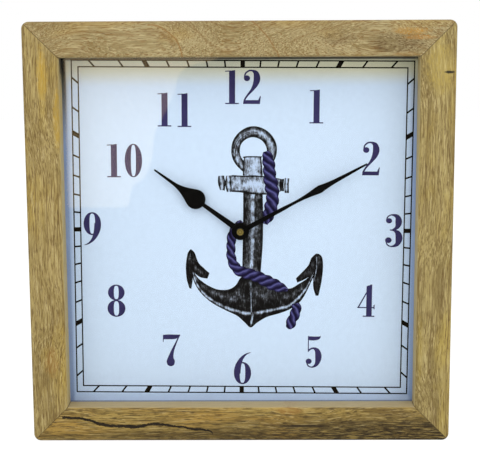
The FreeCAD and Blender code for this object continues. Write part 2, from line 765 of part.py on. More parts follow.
# Fixing of the movement: a soft pad behind the dial board, a washer and a thin nut in front.
cushion = newBody("cushion_pad", "Places.case_front")
cushionPlan = squares(cushion, "rim", [("0", "0")], "Sizes.cushion_width")
pad(cushion, cushionPlan, "Sizes.cushion_thickness")
cut(cushion, disc(cushion, "hole", "Places.dial_hole"), "Sizes.cushion_thickness")
washer = newBody("bush_washer", "Places.dial_front")
pad(washer, disc(washer, "rim", "Sizes.washer_radius"), "Sizes.washer_thickness")
bushSeat = "Sizes.bush_radius + Sizes.seat_clearance"
cut(washer, disc(washer, "hole", bushSeat), "Sizes.washer_thickness")
nut = newBody("fixing_nut", "Places.dial_front - Sizes.washer_thickness")
nutCorner = "Sizes.nut_across_flats / sqrt(3)"
sixSides = [(f"{nutCorner} * cos({60 * side})", f"{nutCorner} * sin({60 * side})")
            for side in range(6)]
pad(nut, outline(nut, "hexagon", sixSides), "Sizes.nut_thickness")
cut(nut, disc(nut, "thread_bore", bushSeat), "Sizes.nut_thickness")

# Gear train. Every wheel is drawn on its own axis. A tooth is a trapezium inside the involute,
# so a pair never binds and keeps a little backlash.

def meshPhase(teeth, phase, direction, partnerTeeth):
    """The angle of a tooth on a gear that meshes with one whose tooth is at `phase`, where
    `direction` is the line from that gear to this one."""
    return direction + 180 + (180 - teeth * (phase - direction)) / partnerTeeth


def toothed(body, name, kind, teeth, module, front, rear, phase):
    """A ring of teeth from one depth to another, with a tooth centred at the phase angle."""
    tip = f"{module} * ({teeth} / 2 + Sizes.addendum_share)"
    root = f"{module} * ({teeth} / 2 - Sizes.dedendum_share)"
    tipGap = f"(180 / {teeth} - 90 * Sizes.{kind}_tip_share * {module} / ({tip}))"
    rootGap = f"(180 / {teeth} - 90 * Sizes.{kind}_root_share * {module} / ({root}))"
    level, length = between(front, rear)
    pad(body, disc(body, f"{name}_blank", tip, level), length)
    # the flat tip of a tooth reaches its middle at `flat` from the axis, on the line `spoke`
    spoke = f"(180 / {teeth})"
    flat = f"({tip} * cos({spoke} - {tipGap}))"
    outside = f"({tip} + Sizes.overrun)"
    corners = [(root, rootGap), (tip, tipGap), (flat, spoke), (outside, spoke)]
    upper = [(f"{reach} * cos({angle})", f"{reach} * sin({angle})") for reach, angle in corners]
    lower = [(x, f"-{y}") for x, y in upper]
    space = lower + upper[::-1]
    gapAngle = phase + 180 / value(teeth)
    space = cut(body, outline(body, f"{name}_space", space, level, gapAngle), length)
    pattern = body.newObject("PartDesign::PolarPattern", f"{body.Label}_{name}")
    pattern.Originals = [space]
    pattern.Axis = (origin(body, "Z_Axis"), [""])
    pattern.Angle = 360
    pattern.setExpression("Occurrences", teeth)
    body.Tip = pattern
    doc.recompute()


def count(name):
    return value(f"Sizes.{name}_teeth")


# The cannon pinion has a tooth towards the motion wheel, and each other phase follows from it.
motionLine = value("Sizes.motion_angle")
motionPhase = meshPhase(count("cannon"), motionLine, motionLine, count("motion_wheel"))
hourPhase = meshPhase(count("motion_pinion"), motionLine + 180, motionLine + 180,
                      count("hour_wheel"))
knobPhase = meshPhase(count("motion_wheel"), motionPhase, value("Sizes.knob_angle"),
                      count("knob"))
thirdLine = value("Sizes.third_angle")
thirdPhase = meshPhase(count("seconds_pinion"), thirdLine, thirdLine, count("third_wheel"))
centrePhase = meshPhase(count("third_pinion"), thirdLine + 180, thirdLine + 180,
                        count("centre_wheel"))
middleLine = value("Sizes.intermediate_angle")
secondsPhase = meshPhase(count("intermediate_pinion"), middleLine + 180, middleLine + 180,
                         count("seconds_wheel"))
rotorLine = value("Sizes.rotor_angle")
rotorPhase = meshPhase(count("intermediate_wheel"), rotorLine, rotorLine,
                       count("rotor_pinion"))

hourWheel = newInner("hour_wheel")
toothed(hourWheel, "teeth", "wheel", "Sizes.hour_wheel_teeth", "Places.hour_module",
        "Places.hour_wheel_front", "Places.hour_wheel_rear", hourPhase)
ring(hourWheel, "tube", "Sizes.hour_tube_radius", "-Sizes.hour_tube_reach",
     "Places.hour_wheel_rear")
bore(hourWheel, "tube_bore", "Places.hour_bore", "-Sizes.hour_tube_reach",
     "Places.hour_wheel_rear")

minuteShaft = newInner("minute_shaft")
toothed(minuteShaft, "cannon", "pinion", "Sizes.cannon_teeth", "Places.motion_module",
        "Places.cannon_front", "Places.cannon_rear", motionLine)
wheelSeat = "Places.centre_wheel_front - Sizes.running_clearance"
ring(minuteShaft, "barrel", "Sizes.minute_shaft_radius", "-Sizes.minute_shaft_reach",
     wheelSeat)
ring(minuteShaft, "hand_seat", "Sizes.hand_seat_radius", "-Places.thread_tip",
     "Places.cannon_front")
ring(minuteShaft, "spigot", "Sizes.minute_spigot_radius", wheelSeat,
     "Places.rivet_rear")
ring(minuteShaft, "rivet", "Sizes.rivet_radius", "Places.rivet_front", "Places.rivet_rear")
bore(minuteShaft, "arbor_bore", "Places.arbor_bore", "-Places.thread_tip",
     "Places.rivet_rear")

# the centre wheel turns the shaft by friction, so that the hands can be set
spigotBore = "Sizes.minute_spigot_radius + Sizes.running_clearance"
centreWheel = newInner("centre_wheel")
toothed(centreWheel, "teeth", "wheel", "Sizes.centre_wheel_teeth", "Places.centre_module",
        "Places.centre_wheel_front", "Places.centre_wheel_rear", centrePhase)
bore(centreWheel, "hole", spigotBore, "Places.centre_wheel_front",
     "Places.centre_wheel_rear")

motionWheel = newInner("motion_wheel", "Places.motion_x", "Places.motion_y")
toothed(motionWheel, "pinion", "pinion", "Sizes.motion_pinion_teeth", "Places.hour_module",
        "Places.hour_wheel_front", "Places.motion_wheel_front", motionLine + 180)
toothed(motionWheel, "teeth", "wheel", "Sizes.motion_wheel_teeth", "Places.motion_module",
        "Places.motion_wheel_front", "Places.motion_wheel_rear", motionPhase)
postBore = "Sizes.motion_post_radius + Sizes.running_clearance"
bore(motionWheel, "hole", postBore, "Places.hour_wheel_front", "Places.motion_wheel_rear")

knob = newInner("setting_knob", "Places.knob_x", "Places.knob_y")
toothed(knob, "teeth", "pinion", "Sizes.knob_teeth", "Places.motion_module",
        "Places.cannon_front", "Places.cannon_rear", knobPhase)
knobDiscFront = "Sizes.case_depth + Sizes.end_play"
ring(knob, "stem", "Sizes.knob_stem_radius", "Places.cannon_rear", knobDiscFront)
ring(knob, "front_pivot", "Sizes.knob_pivot_radius",
     "Sizes.case_wall / 2 + Sizes.running_clearance", "Places.cannon_front")
ring(knob, "dial", "Sizes.knob_radius", knobDiscFront, f"{knobDiscFront} + Sizes.knob_thickness")


def rearArbor(body, wheelRear):
    """An arbor from a wheel's rear face into the lid's bearing."""
    ring(body, "rear_arbor", "Sizes.arbor_radius", wheelRear, "Places.pivot_rear")


thirdWheel = newInner("third_wheel", "Places.third_x", "Places.third_y")
toothed(thirdWheel, "teeth", "wheel", "Sizes.third_wheel_teeth", "Places.seconds_module",
        "Places.third_wheel_front", "Places.third_wheel_rear", thirdPhase)
ring(thirdWheel, "arbor", "Sizes.arbor_radius", "Places.third_pinion_front",
     "Places.third_wheel_front")
toothed(thirdWheel, "pinion", "pinion", "Sizes.third_pinion_teeth", "Places.centre_module",
        "Places.third_pinion_front", "Places.rivet_front", thirdLine + 180)
ring(thirdWheel, "front_arbor", "Sizes.arbor_radius",
     "Sizes.case_wall + Sizes.end_play", "Places.third_pinion_front")
rearArbor(thirdWheel, "Places.third_wheel_rear")

secondsWheel = newInner("seconds_wheel")
toothed(secondsWheel, "teeth", "wheel", "Sizes.seconds_wheel_teeth",
        "Places.intermediate_module", "Places.seconds_wheel_front",
        "Places.seconds_wheel_rear", secondsPhase)
toothed(secondsWheel, "pinion", "pinion", "Sizes.seconds_pinion_teeth",
        "Places.seconds_module", "Places.third_wheel_front - Sizes.mesh_overlap",
        "Places.seconds_wheel_front", thirdLine)
ring(secondsWheel, "arbor", "Sizes.arbor_radius", "-Places.nut_front + Sizes.end_play",
     "Places.seconds_wheel_front")
rearArbor(secondsWheel, "Places.seconds_wheel_rear")


def frontArbor(body, pinionFront):
    """An arbor from the gear plate's bearing to a pinion's front end."""
    ring(body, "front_arbor", "Sizes.arbor_radius",
         "Places.plate_front + Sizes.mesh_overlap", pinionFront)


middleWheel = newInner("intermediate_wheel", "Places.intermediate_x", "Places.intermediate_y")
toothed(middleWheel, "teeth", "wheel", "Sizes.intermediate_wheel_teeth",
        "Places.rotor_module", "Places.intermediate_wheel_front",
        "Places.intermediate_wheel_rear", rotorLine)
middlePinionFront = "Places.seconds_wheel_front - Sizes.mesh_overlap"
toothed(middleWheel, "pinion", "pinion", "Sizes.intermediate_pinion_teeth",
        "Places.intermediate_module", middlePinionFront, "Places.intermediate_wheel_front",
        middleLine + 180)
frontArbor(middleWheel, middlePinionFront)
rearArbor(middleWheel, "Places.intermediate_wheel_rear")

rotor = newInner("rotor_pinion", "Places.rotor_x", "Places.rotor_y")
rotorPinionFront = "Places.intermediate_wheel_front - Sizes.mesh_overlap"
ring(rotor, "hub", "Sizes.rotor_hub_radius", "Places.rotor_front", "Places.rotor_rear")
toothed(rotor, "teeth", "pinion", "Sizes.rotor_pinion_teeth", "Places.rotor_module",
        rotorPinionFront, "Places.rotor_front", rotorPhase)
frontArbor(rotor, rotorPinionFront)
rearArbor(rotor, "Places.rotor_rear")

# Stepping motor: magnet, stator, core, bobbin and winding.
magnet = newInner("rotor_magnet", "Places.rotor_x", "Places.rotor_y")
ring(magnet, "rim", "Sizes.rotor_radius", "Places.rotor_front", "Places.rotor_rear")
hubBore = "Sizes.rotor_hub_radius + Sizes.seat_clearance"
bore(magnet, "hole", hubBore, "Places.rotor_front", "Places.rotor_rear")

stator = newInner("stator", "Places.rotor_x", "Places.rotor_y")
level, length = between("Places.stator_front", "Places.stator_rear")
side = "Sizes.stator_width / 2"
window = f"({side} - Sizes.stator_leg)"
barHalf = "Sizes.stator_bar / 2"
legTop = "Sizes.coil_rise + Sizes.core_height / 2"
legs = [
    (f"-{side}", f"-{barHalf}"),
    (side, f"-{barHalf}"),
    (side, legTop),
    (window, legTop),
    (window, barHalf),
    (f"-{window}", barHalf),
    (f"-{window}", legTop),
    (f"-{side}", legTop),
]
pad(stator, outline(stator, "lamination", legs, level), length)
bore(stator, "rotor_hole", "Sizes.rotor_radius + Sizes.air_gap", "Places.stator_front",
     "Places.stator_rear")
stakeHole = "Sizes.stake_width + 2 * Sizes.seat_clearance"
stakeSpots = [(f"{way} * Places.leg_reach", "Sizes.coil_rise") for way in (-1, 1)]
cut(stator, squares(stator, "stake_holes", stakeSpots, stakeHole, level), length)

core = newInner("coil_core", "Places.rotor_x", "Places.coil_y")
level, length = between("Places.stator_rear", "Places.core_rear")
bar = box(f"-{side}", "-Sizes.core_height / 2", side, "Sizes.core_height / 2")
pad(core, outline(core, "bar", bar, level), length)
coreSpots = [(f"{way} * Places.leg_reach", "0") for way in (-1, 1)]
cut(core, squares(core, "stake_holes", coreSpots, stakeHole, level), length)


def alongX(body, depth, x, y):
    """Lays a body down so that its drawing's viewer side points along X, with the top of the
    drawing towards the viewer of the clock."""
    body.Placement = Placement(Vector(), Rotation(Vector(0, 0, -1), Vector(0, -1, 0), Vector(1, 0, 0)))
    body.setExpression("Placement.Base.x", x)
    body.setExpression("Placement.Base.y",
                       f"Places.case_front + {depth} - Sizes.frame_depth / 2")
    body.setExpression("Placement.Base.z", f"Places.half_height + {y}")


coreMiddle = "(Places.stator_rear + Places.core_rear) / 2"
bobbinHalf = f"({window} - Sizes.end_play)"
bobbin = newInner("coil_bobbin")
alongX(bobbin, coreMiddle, "Places.rotor_x", "Places.coil_y")


def coreSleeve(margin):
    """The section of a sleeve round the core, with a margin all round."""
    height = f"(Sizes.core_height / 2 + {margin})"
    thickness = f"(Sizes.core_thickness / 2 + {margin})"
    return box(f"-{height}", f"-{thickness}", height, thickness)


tube = coreSleeve("Sizes.seat_clearance + Sizes.bobbin_wall")
pad(bobbin, outline(bobbin, "tube", tube, f"-{bobbinHalf}"), f"2 * {bobbinHalf}")
for end, start in (("left", f"-{bobbinHalf}"), ("right", f"{bobbinHalf} - Sizes.bobbin_flange")):
    flange = squares(bobbin, f"{end}_flange", [("0", "0")], "Sizes.bobbin_width", start)
    pad(bobbin, flange, "Sizes.bobbin_flange")
tunnel = coreSleeve("Sizes.seat_clearance")
cut(bobbin, outline(bobbin, "tunnel", tunnel, f"-{bobbinHalf}"), f"2 * {bobbinHalf}")

winding = newInner("coil_winding")
alongX(winding, coreMiddle, "Places.rotor_x", "Places.coil_y")
windingHalf = f"({bobbinHalf} - Sizes.bobbin_flange - Sizes.seat_clearance)"
edge = "Sizes.winding_width / 2"
start = "(Sizes.winding_width / 2 - Sizes.winding_corner)"
turns = [
    (start, f"-{edge}"),
    (edge, f"-{start}"),
    (edge, start),
    (start, edge),
    (f"-{start}", edge),
    (f"-{edge}", start),
    (f"-{edge}", f"-{start}"),
    (f"-{start}", f"-{edge}"),
]
pad(winding, outline(winding, "turns", turns, f"-{windingHalf}"), f"2 * {windingHalf}")
inner = coreSleeve("2 * Sizes.seat_clearance + Sizes.bobbin_wall")
cut(winding, outline(winding, "hole", inner, f"-{windingHalf}"), f"2 * {windingHalf}")

# Circuit board with its chip and quartz crystal.
circuit = newInner("circuit_board", "Places.circuit_x")
level, length = between("Places.stator_front", "Places.circuit_rear")
boardEdge = box("-Sizes.circuit_width / 2", "Sizes.circuit_bottom", "Sizes.circuit_width / 2",
                "Places.circuit_top")
pad(circuit, outline(circuit, "board", boardEdge, level), length)

chip = newInner("controller_chip", "Places.circuit_x", "Sizes.circuit_bottom + Sizes.chip_offset")
level, length = between("Places.circuit_rear", "Places.circuit_rear + Sizes.chip_height")
pad(chip, squares(chip, "package", [("0", "0")], "Sizes.chip_width", level), length)

crystal = newInner("quartz_crystal")
alongX(crystal, "Places.circuit_rear + Sizes.crystal_radius",
       "Places.circuit_x - Sizes.crystal_length / 2",
       "Sizes.circuit_bottom + Sizes.crystal_offset")
pad(crystal, disc(crystal, "can", "Sizes.crystal_radius"), "Sizes.crystal_length")

# Battery and its two contacts.
cell = newInner("battery_cell")
alongX(cell, "Places.cell_level", "Places.cell_rear_x", "Places.cell_y")
canLength = "(Sizes.cell_length - Sizes.cell_nub_length)"
pad(cell, disc(cell, "can", "Sizes.cell_radius"), canLength)
pad(cell, disc(cell, "nub", "Sizes.cell_nub_radius", canLength), "Sizes.cell_nub_length")

plus = newInner("contact_plus")
contactLevel, contactLength = between("Places.contact_level",
                                      "Places.contact_level + Sizes.contact_width")
foot = "(Places.cell_y - Sizes.contact_drop)"
tabTop = "Sizes.circuit_bottom"
tabBottom = f"({tabTop} - Sizes.contact_thickness)"
plusEdge = [
    ("Places.contact_face", foot),
    (inside, foot),
    (inside, tabTop),
    (f"{inside} - Sizes.contact_tab", tabTop),
    (f"{inside} - Sizes.contact_tab", tabBottom),
    ("Places.contact_face", tabBottom),
]
pad(plus, outline(plus, "strip", plusEdge, contactLevel), contactLength)

minus = newInner("contact_minus")
railTop = "(Places.chamber_bottom + Sizes.seat_clearance + Sizes.contact_thickness)"
riserX = "(Places.circuit_x - Sizes.boss_radius - Sizes.layer_gap)"
leafTip = "(Places.cell_rear_x - Sizes.running_clearance)"
leafHalf = "Sizes.leaf_height / 2"
minusEdge = [
    (f"-{inside}", foot),
    ("-Places.contact_face", foot),
    ("-Places.contact_face", f"Places.cell_y - {leafHalf}"),
    (leafTip, f"Places.cell_y - Sizes.contact_thickness / 2"),
    (leafTip, f"Places.cell_y + Sizes.contact_thickness / 2"),
    ("-Places.contact_face", f"Places.cell_y + {leafHalf}"),
    ("-Places.contact_face", f"{railTop} - Sizes.contact_thickness"),
    (riserX, f"{railTop} - Sizes.contact_thickness"),
    (riserX, tabTop),
    (f"{riserX} - Sizes.contact_thickness", tabTop),
    (f"{riserX} - Sizes.contact_thickness", railTop),
    (f"-{inside}", railTop),
]
pad(minus, outline(minus, "strip", minusEdge, contactLevel), contactLength)
leafHollow = [
    (f"-{inside}", f"Places.cell_y - {leafHalf} + Sizes.contact_thickness"),
    ("-Places.contact_face", f"Places.cell_y - {leafHalf} + Sizes.contact_thickness"),
    (f"{leafTip} - Sizes.contact_thickness", "Places.cell_y"),
    ("-Places.contact_face", f"Places.cell_y + {leafHalf} - Sizes.contact_thickness"),
    (f"-{inside}", f"Places.cell_y + {leafHalf} - Sizes.contact_thickness"),
]
cut(minus, outline(minus, "leaf_hollow", leafHollow, contactLevel), contactLength)

# Hands, drawn pointing to twelve and turned to the time. Half outlines run up the right side.

def handOutline(halfPoints, hub, stemFoot):
    """A closed hand from the right half of its outline, mirrored, with its foot in the hub."""
    left = []
    for index in range(len(halfPoints) - 1, -1, -1):
        point = halfPoints[index]
        mirrored = (f"-({point[0]})", point[1])
        if index + 1 < len(halfPoints) and len(halfPoints[index + 1]) == 3:
            mirrored += (halfPoints[index + 1][2],)
        left.append(mirrored)
    return halfPoints + left


hourLength = "Sizes.hour_hand_length"
bulb = "Sizes.bulb_radius"
bulbCentre = f"Sizes.bulb_centre_share * {hourLength}"
neckHalf = "Sizes.hour_neck_width / 2"
flankX = f"({bulb} * cos(Sizes.bulb_flank_angle))"
flankY = f"({bulbCentre} + {bulb} * sin(Sizes.bulb_flank_angle))"
hollowX = f"({flankX} - Sizes.flank_length * sin(Sizes.bulb_flank_angle))"
hollowY = f"({flankY} + Sizes.flank_length * cos(Sizes.bulb_flank_angle))"
taperX = "Sizes.taper_width / 2"
taperY = f"(Sizes.taper_share * {hourLength})"
# the hollow arc leaves the flank as a tangent: its radius is chord squared over twice the offset
chordX = f"({hollowX} - {taperX})"
chordY = f"({taperY} - {hollowY})"
offset = (f"({chordY} * sin(Sizes.bulb_flank_angle)"
          f" - {chordX} * cos(Sizes.bulb_flank_angle))")
hollowRadius = f"({chordX} ^ 2 + {chordY} ^ 2) / (2 * {offset})"
hourHalf = [
    ("Sizes.hour_stem_width / 2", "0"),
    (neckHalf, f"{bulbCentre} - sqrt({bulb} ^ 2 - ({neckHalf}) ^ 2)"),
    (flankX, flankY, bulb),
    (hollowX, hollowY),
    (taperX, taperY, f"-{hollowRadius}"),
    ("Sizes.hand_tip_width / 2", hourLength),
]

minuteLength = "Sizes.minute_hand_length"
minuteHalf = [
    ("Sizes.minute_stem_width / 2", "0"),
    ("Sizes.minute_neck_width / 2", f"Sizes.minute_neck_share * {minuteLength}"),
    ("Sizes.lance_shoulder_width / 2", f"Sizes.lance_shoulder_share * {minuteLength}",
     f"-{minuteLength}"),
    ("Sizes.lance_width / 2", f"Sizes.lance_share * {minuteLength}"),
    ("Sizes.lance_taper_width / 2", f"Sizes.lance_taper_share * {minuteLength}",
     f"-{minuteLength}"),
    ("Sizes.hand_tip_width / 2", minuteLength),
]


def hand(name, halfPoints, angle, level, hub, hole):
    """A flat hand with a round hub, its rear face at a level in front of the case."""
    body = newInner(name, turn=-value(angle))
    blade = handOutline(halfPoints, hub, "0")
    pad(body, outline(body, "blade", blade, level), "Sizes.hand_thickness")
    pad(body, disc(body, "hub", hub, level), "Sizes.hand_thickness")
    return body


hourHand = hand("hour_hand", hourHalf, "Sizes.hour_hand_angle", "Sizes.hour_hand_level",
                "Sizes.hour_hub_radius", "")
colletLevel = "Sizes.hour_hand_level - Sizes.hour_collet_length"
pad(hourHand, disc(hourHand, "collet", "Sizes.hour_collet_radius", colletLevel),
    "Sizes.hour_collet_length")
tubeSeat = "Sizes.hour_tube_radius + Sizes.seat_clearance"
cut(hourHand, disc(hourHand, "bore", tubeSeat, colletLevel),
    "Sizes.hour_collet_length + Sizes.hand_thickness")

minuteHand = hand("minute_hand", minuteHalf, "Sizes.minute_hand_angle",
                  "Sizes.minute_shaft_reach", "Sizes.minute_hub_radius", "")
shaftSeat = "Sizes.hand_seat_radius + Sizes.seat_clearance"
cut(minuteHand, disc(minuteHand, "bore", shaftSeat, "Sizes.minute_shaft_reach"),
    "Sizes.hand_thickness")

handNut = newInner("hand_nut")
pad(handNut, disc(handNut, "rim", "Sizes.hand_nut_radius", "Places.minute_hand_front"),
    "Sizes.hand_nut_height")
cut(handNut, disc(handNut, "thread_bore", shaftSeat, "Places.minute_hand_front"),
    "Sizes.hand_nut_height")

# Checks, then one file for each piece.
doc.recompute()
for item in doc.Objects:
    if "Invalid" in item.State or "Error" in item.State:
        raise RuntimeError(f"{item.Name} failed: {item.State}")
for node in nodes:
    if node.Shape.isNull() or not node.Shape.isValid():
        raise RuntimeError(f"{node.Label} has no valid shape")
os.makedirs("parts", exist_ok=True)
for node in nodes:
    node.Shape.exportStep(f"parts/{node.Label}.step")
print(len(nodes), "pieces")
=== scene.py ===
import math

import bpy
import numpy as np
from mathutils import Matrix, Vector


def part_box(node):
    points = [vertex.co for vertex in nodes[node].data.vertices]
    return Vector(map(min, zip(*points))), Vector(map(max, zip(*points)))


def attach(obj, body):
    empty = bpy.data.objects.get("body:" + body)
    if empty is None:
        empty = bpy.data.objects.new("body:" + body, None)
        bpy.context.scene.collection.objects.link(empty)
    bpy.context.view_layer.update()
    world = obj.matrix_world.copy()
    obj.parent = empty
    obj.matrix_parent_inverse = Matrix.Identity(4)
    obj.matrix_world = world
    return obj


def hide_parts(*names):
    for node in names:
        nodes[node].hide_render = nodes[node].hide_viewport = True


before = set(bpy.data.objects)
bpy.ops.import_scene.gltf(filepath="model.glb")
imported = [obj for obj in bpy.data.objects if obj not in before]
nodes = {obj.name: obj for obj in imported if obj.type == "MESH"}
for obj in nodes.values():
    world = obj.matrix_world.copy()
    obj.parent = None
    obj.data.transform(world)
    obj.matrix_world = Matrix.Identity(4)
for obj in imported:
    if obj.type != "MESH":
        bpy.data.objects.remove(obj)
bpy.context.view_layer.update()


mm = 0.001
print("frame loaded")

# Camera
lens = {
    "focal": 95.81,
    "sensor": 36.0,
    "nearest": 0.05,
    "place": (0.010401, -0.912176, 0.300139),
    "right": (0.999929, 0.010819, -0.005128),
    "up": (0.003304, 0.162350, 0.986728),
    "forward": (-0.011508, 0.986674, -0.162303),
}
scene = bpy.context.scene
scene.view_settings.view_transform = "Standard"
eye = bpy.data.cameras.new("Camera")
eye.lens = lens["focal"]
eye.sensor_width = lens["sensor"]
eye.sensor_fit = "HORIZONTAL"
eye.clip_start = lens["nearest"]
camera = bpy.data.objects.new("Camera", eye)
scene.collection.objects.link(camera)
axes = [Vector(lens["right"]), Vector(lens["up"]), -Vector(lens["forward"])]
turn = Matrix([[axis[row] for axis in axes] for row in range(3)]).to_4x4()
camera.matrix_world = Matrix.Translation(lens["place"]) @ turn
scene.camera = camera
print("camera placed")


# Node helpers
def srgb(red, green, blue):
    # the display curve undone, from 0-255 to linear light
    share = np.array([red, green, blue]) / 255.0
    linear = np.where(share <= 0.04045, share / 12.92, ((share + 0.055) / 1.055) ** 2.4)
    return (*[float(c) for c in linear], 1.0)


def connect(tree, node, inputs):
    for key, given in inputs.items():
        if isinstance(given, bpy.types.NodeSocket):
            tree.links.new(given, node.inputs[key])
        else:
            node.inputs[key].default_value = given
    return node


def add(tree, kind, inputs=None, **settings):
    made = tree.nodes.new(f"ShaderNode{kind}")
    for key, setting in settings.items():
        setattr(made, key, setting)
    return connect(tree, made, inputs or {})


def useGroup(tree, group, inputs):
    return add(tree, "Group", inputs, node_tree=group).outputs


def sums(tree, operation, first, second=0.0, third=0.0, clamp=False):
    given = {0: first, 1: second, 2: third}
    return add(tree, "Math", given, operation=operation, use_clamp=clamp).outputs[0]


def times(tree, product, *factors):
    for factor in factors:
        product = sums(tree, "MULTIPLY", product, factor)
    return product


def apart(tree, first, second):
    return sums(tree, "ABSOLUTE", sums(tree, "SUBTRACT", first, second))


def split(tree, vector):
    return add(tree, "SeparateXYZ", {0: vector}).outputs


def vectorSum(tree, operation, first, second=(0, 0, 0)):
    made = add(tree, "VectorMath", {0: first, 1: second}, operation=operation)
    return made.outputs["Value" if operation == "LENGTH" else "Vector"]


def blend(tree, factor, first, second):
    return add(tree, "Mix", {0: factor, 6: first, 7: second}, data_type="RGBA").outputs[2]


def spread(tree, given, low, high, start=0.0, end=1.0, kind="SMOOTHSTEP"):
    inputs = {"Value": given, "From Min": low, "From Max": high, "To Min": start, "To Max": end}
    return add(tree, "MapRange", inputs, interpolation_type=kind).outputs[0]


def ramp(tree, factor, stops, kind="LINEAR"):
    # a colour of three numbers counts from 0 to 255, one of four is linear light
    made = add(tree, "ValToRGB", {0: factor})
    made.color_ramp.interpolation = kind
    elements = made.color_ramp.elements
    while len(elements) < len(stops):
        elements.new(0.5)
    for element, (place, colour) in zip(elements, stops):
        element.position = place
    for element, (place, colour) in zip(elements, stops):
        element.color = colour if len(colour) == 4 else srgb(*colour)
    return made.outputs[0]


def noise(tree, vector, scale, detail=3.0, rough=0.55, distortion=0.0):
    inputs = {"Vector": vector, "Scale": scale, "Detail": detail, "Roughness": rough,
              "Distortion": distortion}
    return add(tree, "TexNoise", inputs).outputs[0]


def stretch(tree, vector, scale, shift=(0, 0, 0)):
    inputs = {"Vector": vector, "Location": shift, "Scale": scale}
    return add(tree, "Mapping", inputs).outputs[0]


def grained(tree, vector, along, across, detail, rough=0.55, shift=(0, 0, 0), distortion=0.0):
    # a noise drawn out along X
    drawn = stretch(tree, vector, (along, across, across), shift)
    return noise(tree, drawn, 1.0, detail, rough, distortion)


def newGroup(name, inputs, outputs):
    # sockets are labels with their kinds; the inputs get their values where the group is used
    group = bpy.data.node_groups.new(name, "ShaderNodeTree")
    for way, sockets in (("INPUT", inputs), ("OUTPUT", outputs)):
        for label, kind in sockets.items():
            group.interface.new_socket(label, in_out=way, socket_type=f"NodeSocket{kind}")
    return group, group.nodes.new("NodeGroupInput").outputs, group.nodes.new("NodeGroupOutput")


def newMaterial(name):
    material = bpy.data.materials.new(name)
    material.use_nodes = True
    material.node_tree.nodes.clear()
    return material, material.node_tree


def coordinates(tree, kind="Object"):
    return add(tree, "TexCoord").outputs[kind]


def toOutput(tree, shader, kind="Material"):
    add(tree, f"Output{kind}", {"Surface": shader.outputs[0]})


def mixShaders(tree, factor, first, second):
    return add(tree, "MixShader", {0: factor, 1: first.outputs[0], 2: second.outputs[0]})


def finished(tree, colour, roughness, height=None, depth=0.0001, bump=0.3, metallic=0.0, shine=0.5):
    settings = {"Base Color": colour, "Roughness": roughness, "Metallic": metallic,
                "Specular IOR Level": shine}
    if height is not None:
        relief = {"Height": height, "Distance": depth, "Strength": bump}
        settings["Normal"] = add(tree, "Bump", relief).outputs[0]
    toOutput(tree, add(tree, "BsdfPrincipled", settings))


# Two noises, one broad and one fine, vary a surface's colour, roughness and height. A noise is
# its scale and detail, and a mask is where it starts and ends, with its amounts there
worn = {"fineDetail": 4.0, "broad": (45.0, 2.0), "shades": (0.32, 0.68), "polish": (0.35, 0.65)}
wear, wearIn, wearOut = newGroup(
    "wornSurface",
    {"Vector": "Vector", "Scale": "Float", "Light": "Color", "Dark": "Color", "Smooth": "Float",
     "Rough": "Float"},
    {"Colour": "Color", "Roughness": "Float", "Height": "Float"})
fine = noise(wear, wearIn["Vector"], wearIn["Scale"], worn["fineDetail"])
broad = noise(wear, wearIn["Vector"], *worn["broad"])
mixed = sums(wear, "MULTIPLY_ADD", fine, 0.5, times(wear, broad, 0.5))
connect(wear, wearOut, {
    "Colour": blend(wear, spread(wear, mixed, *worn["shades"]), wearIn["Dark"], wearIn["Light"]),
    "Roughness": spread(wear, broad, *worn["polish"], wearIn["Smooth"], wearIn["Rough"]),
    "Height": fine})

# A soft-edged oval mask round a centre: the distance from it, counted in its own radii
edging = {"noise": (500.0, 3.0), "amount": 0.8}
spot, spotIn, spotOut = newGroup(
    "softSpot", {"Vector": "Vector", "Centre": "Vector", "Radii": "Vector", "Edge": "Float"},
    {"Mask": "Float"})
away = vectorSum(spot, "SUBTRACT", spotIn["Vector"], spotIn["Centre"])
reach = vectorSum(spot, "LENGTH", vectorSum(spot, "DIVIDE", away, spotIn["Radii"]))
ragged = noise(spot, spotIn["Vector"], *edging["noise"])
uneven = sums(spot, "MULTIPLY_ADD", ragged, edging["amount"], -edging["amount"] / 2)
reach = sums(spot, "ADD", reach, uneven)
connect(spot, spotOut, {"Mask": spread(spot, reach, 1.0, spotIn["Edge"])})

# Wood along the vector's X: the grain is bent by a broad noise, and then carries growth lines,
# pale streaks, brown dashes and short dark pores. A noise is its scale along and across the grain,
# detail, roughness, shift and distortion
grainNoise = {
    "swell": (9.0, 15.0, 1.0, 0.4), "figure": (9.0, 130.0, 4.0, 0.6, (0, 0, 0), 0.4),
    "dashes": (95.0, 1750.0, 3.0, 0.6), "flecks": (50.0, 1150.0, 4.0, 0.65, (2, 3, 1)),
    "pores": (210.0, 1600.0, 2.0), "patches": (14.0, 45.0, 3.0, 0.55, (3, 1, 2))}
grainMask = {
    "rings": (0.09, 0.0, 0.0, 0.55), "body": (0.38, 0.60), "glow": (0.50, 0.68, 0.0, 0.7),
    "pale": (0.52, 0.68, 0.0, 0.45), "dashes": (0.50, 0.62), "growth": (0.35, 0.6),
    "pores": (0.42, 0.32), "gloss": (0.3, 0.7, 0.52, 0.68)}
grainInk = {"pale": (206, 188, 138), "pores": (84, 60, 32)}
wood, woodIn, woodOut = newGroup(
    "woodGrain",
    {"Vector": "Vector", "Pale": "Color", "Deep": "Color", "Glow": "Color", "Streak": "Color",
     "Bands": "Float", "Bend": "Float", "Streaks": "Float"},
    {"Colour": "Color", "Roughness": "Float", "Height": "Float", "Dashes": "Float"})
swell = grained(wood, woodIn["Vector"], *grainNoise["swell"])
sway = times(wood, sums(wood, "SUBTRACT", swell, 0.5), woodIn["Bend"])
swayed = add(wood, "CombineXYZ", {0: 0.0, 1: sway, 2: sway}).outputs[0]
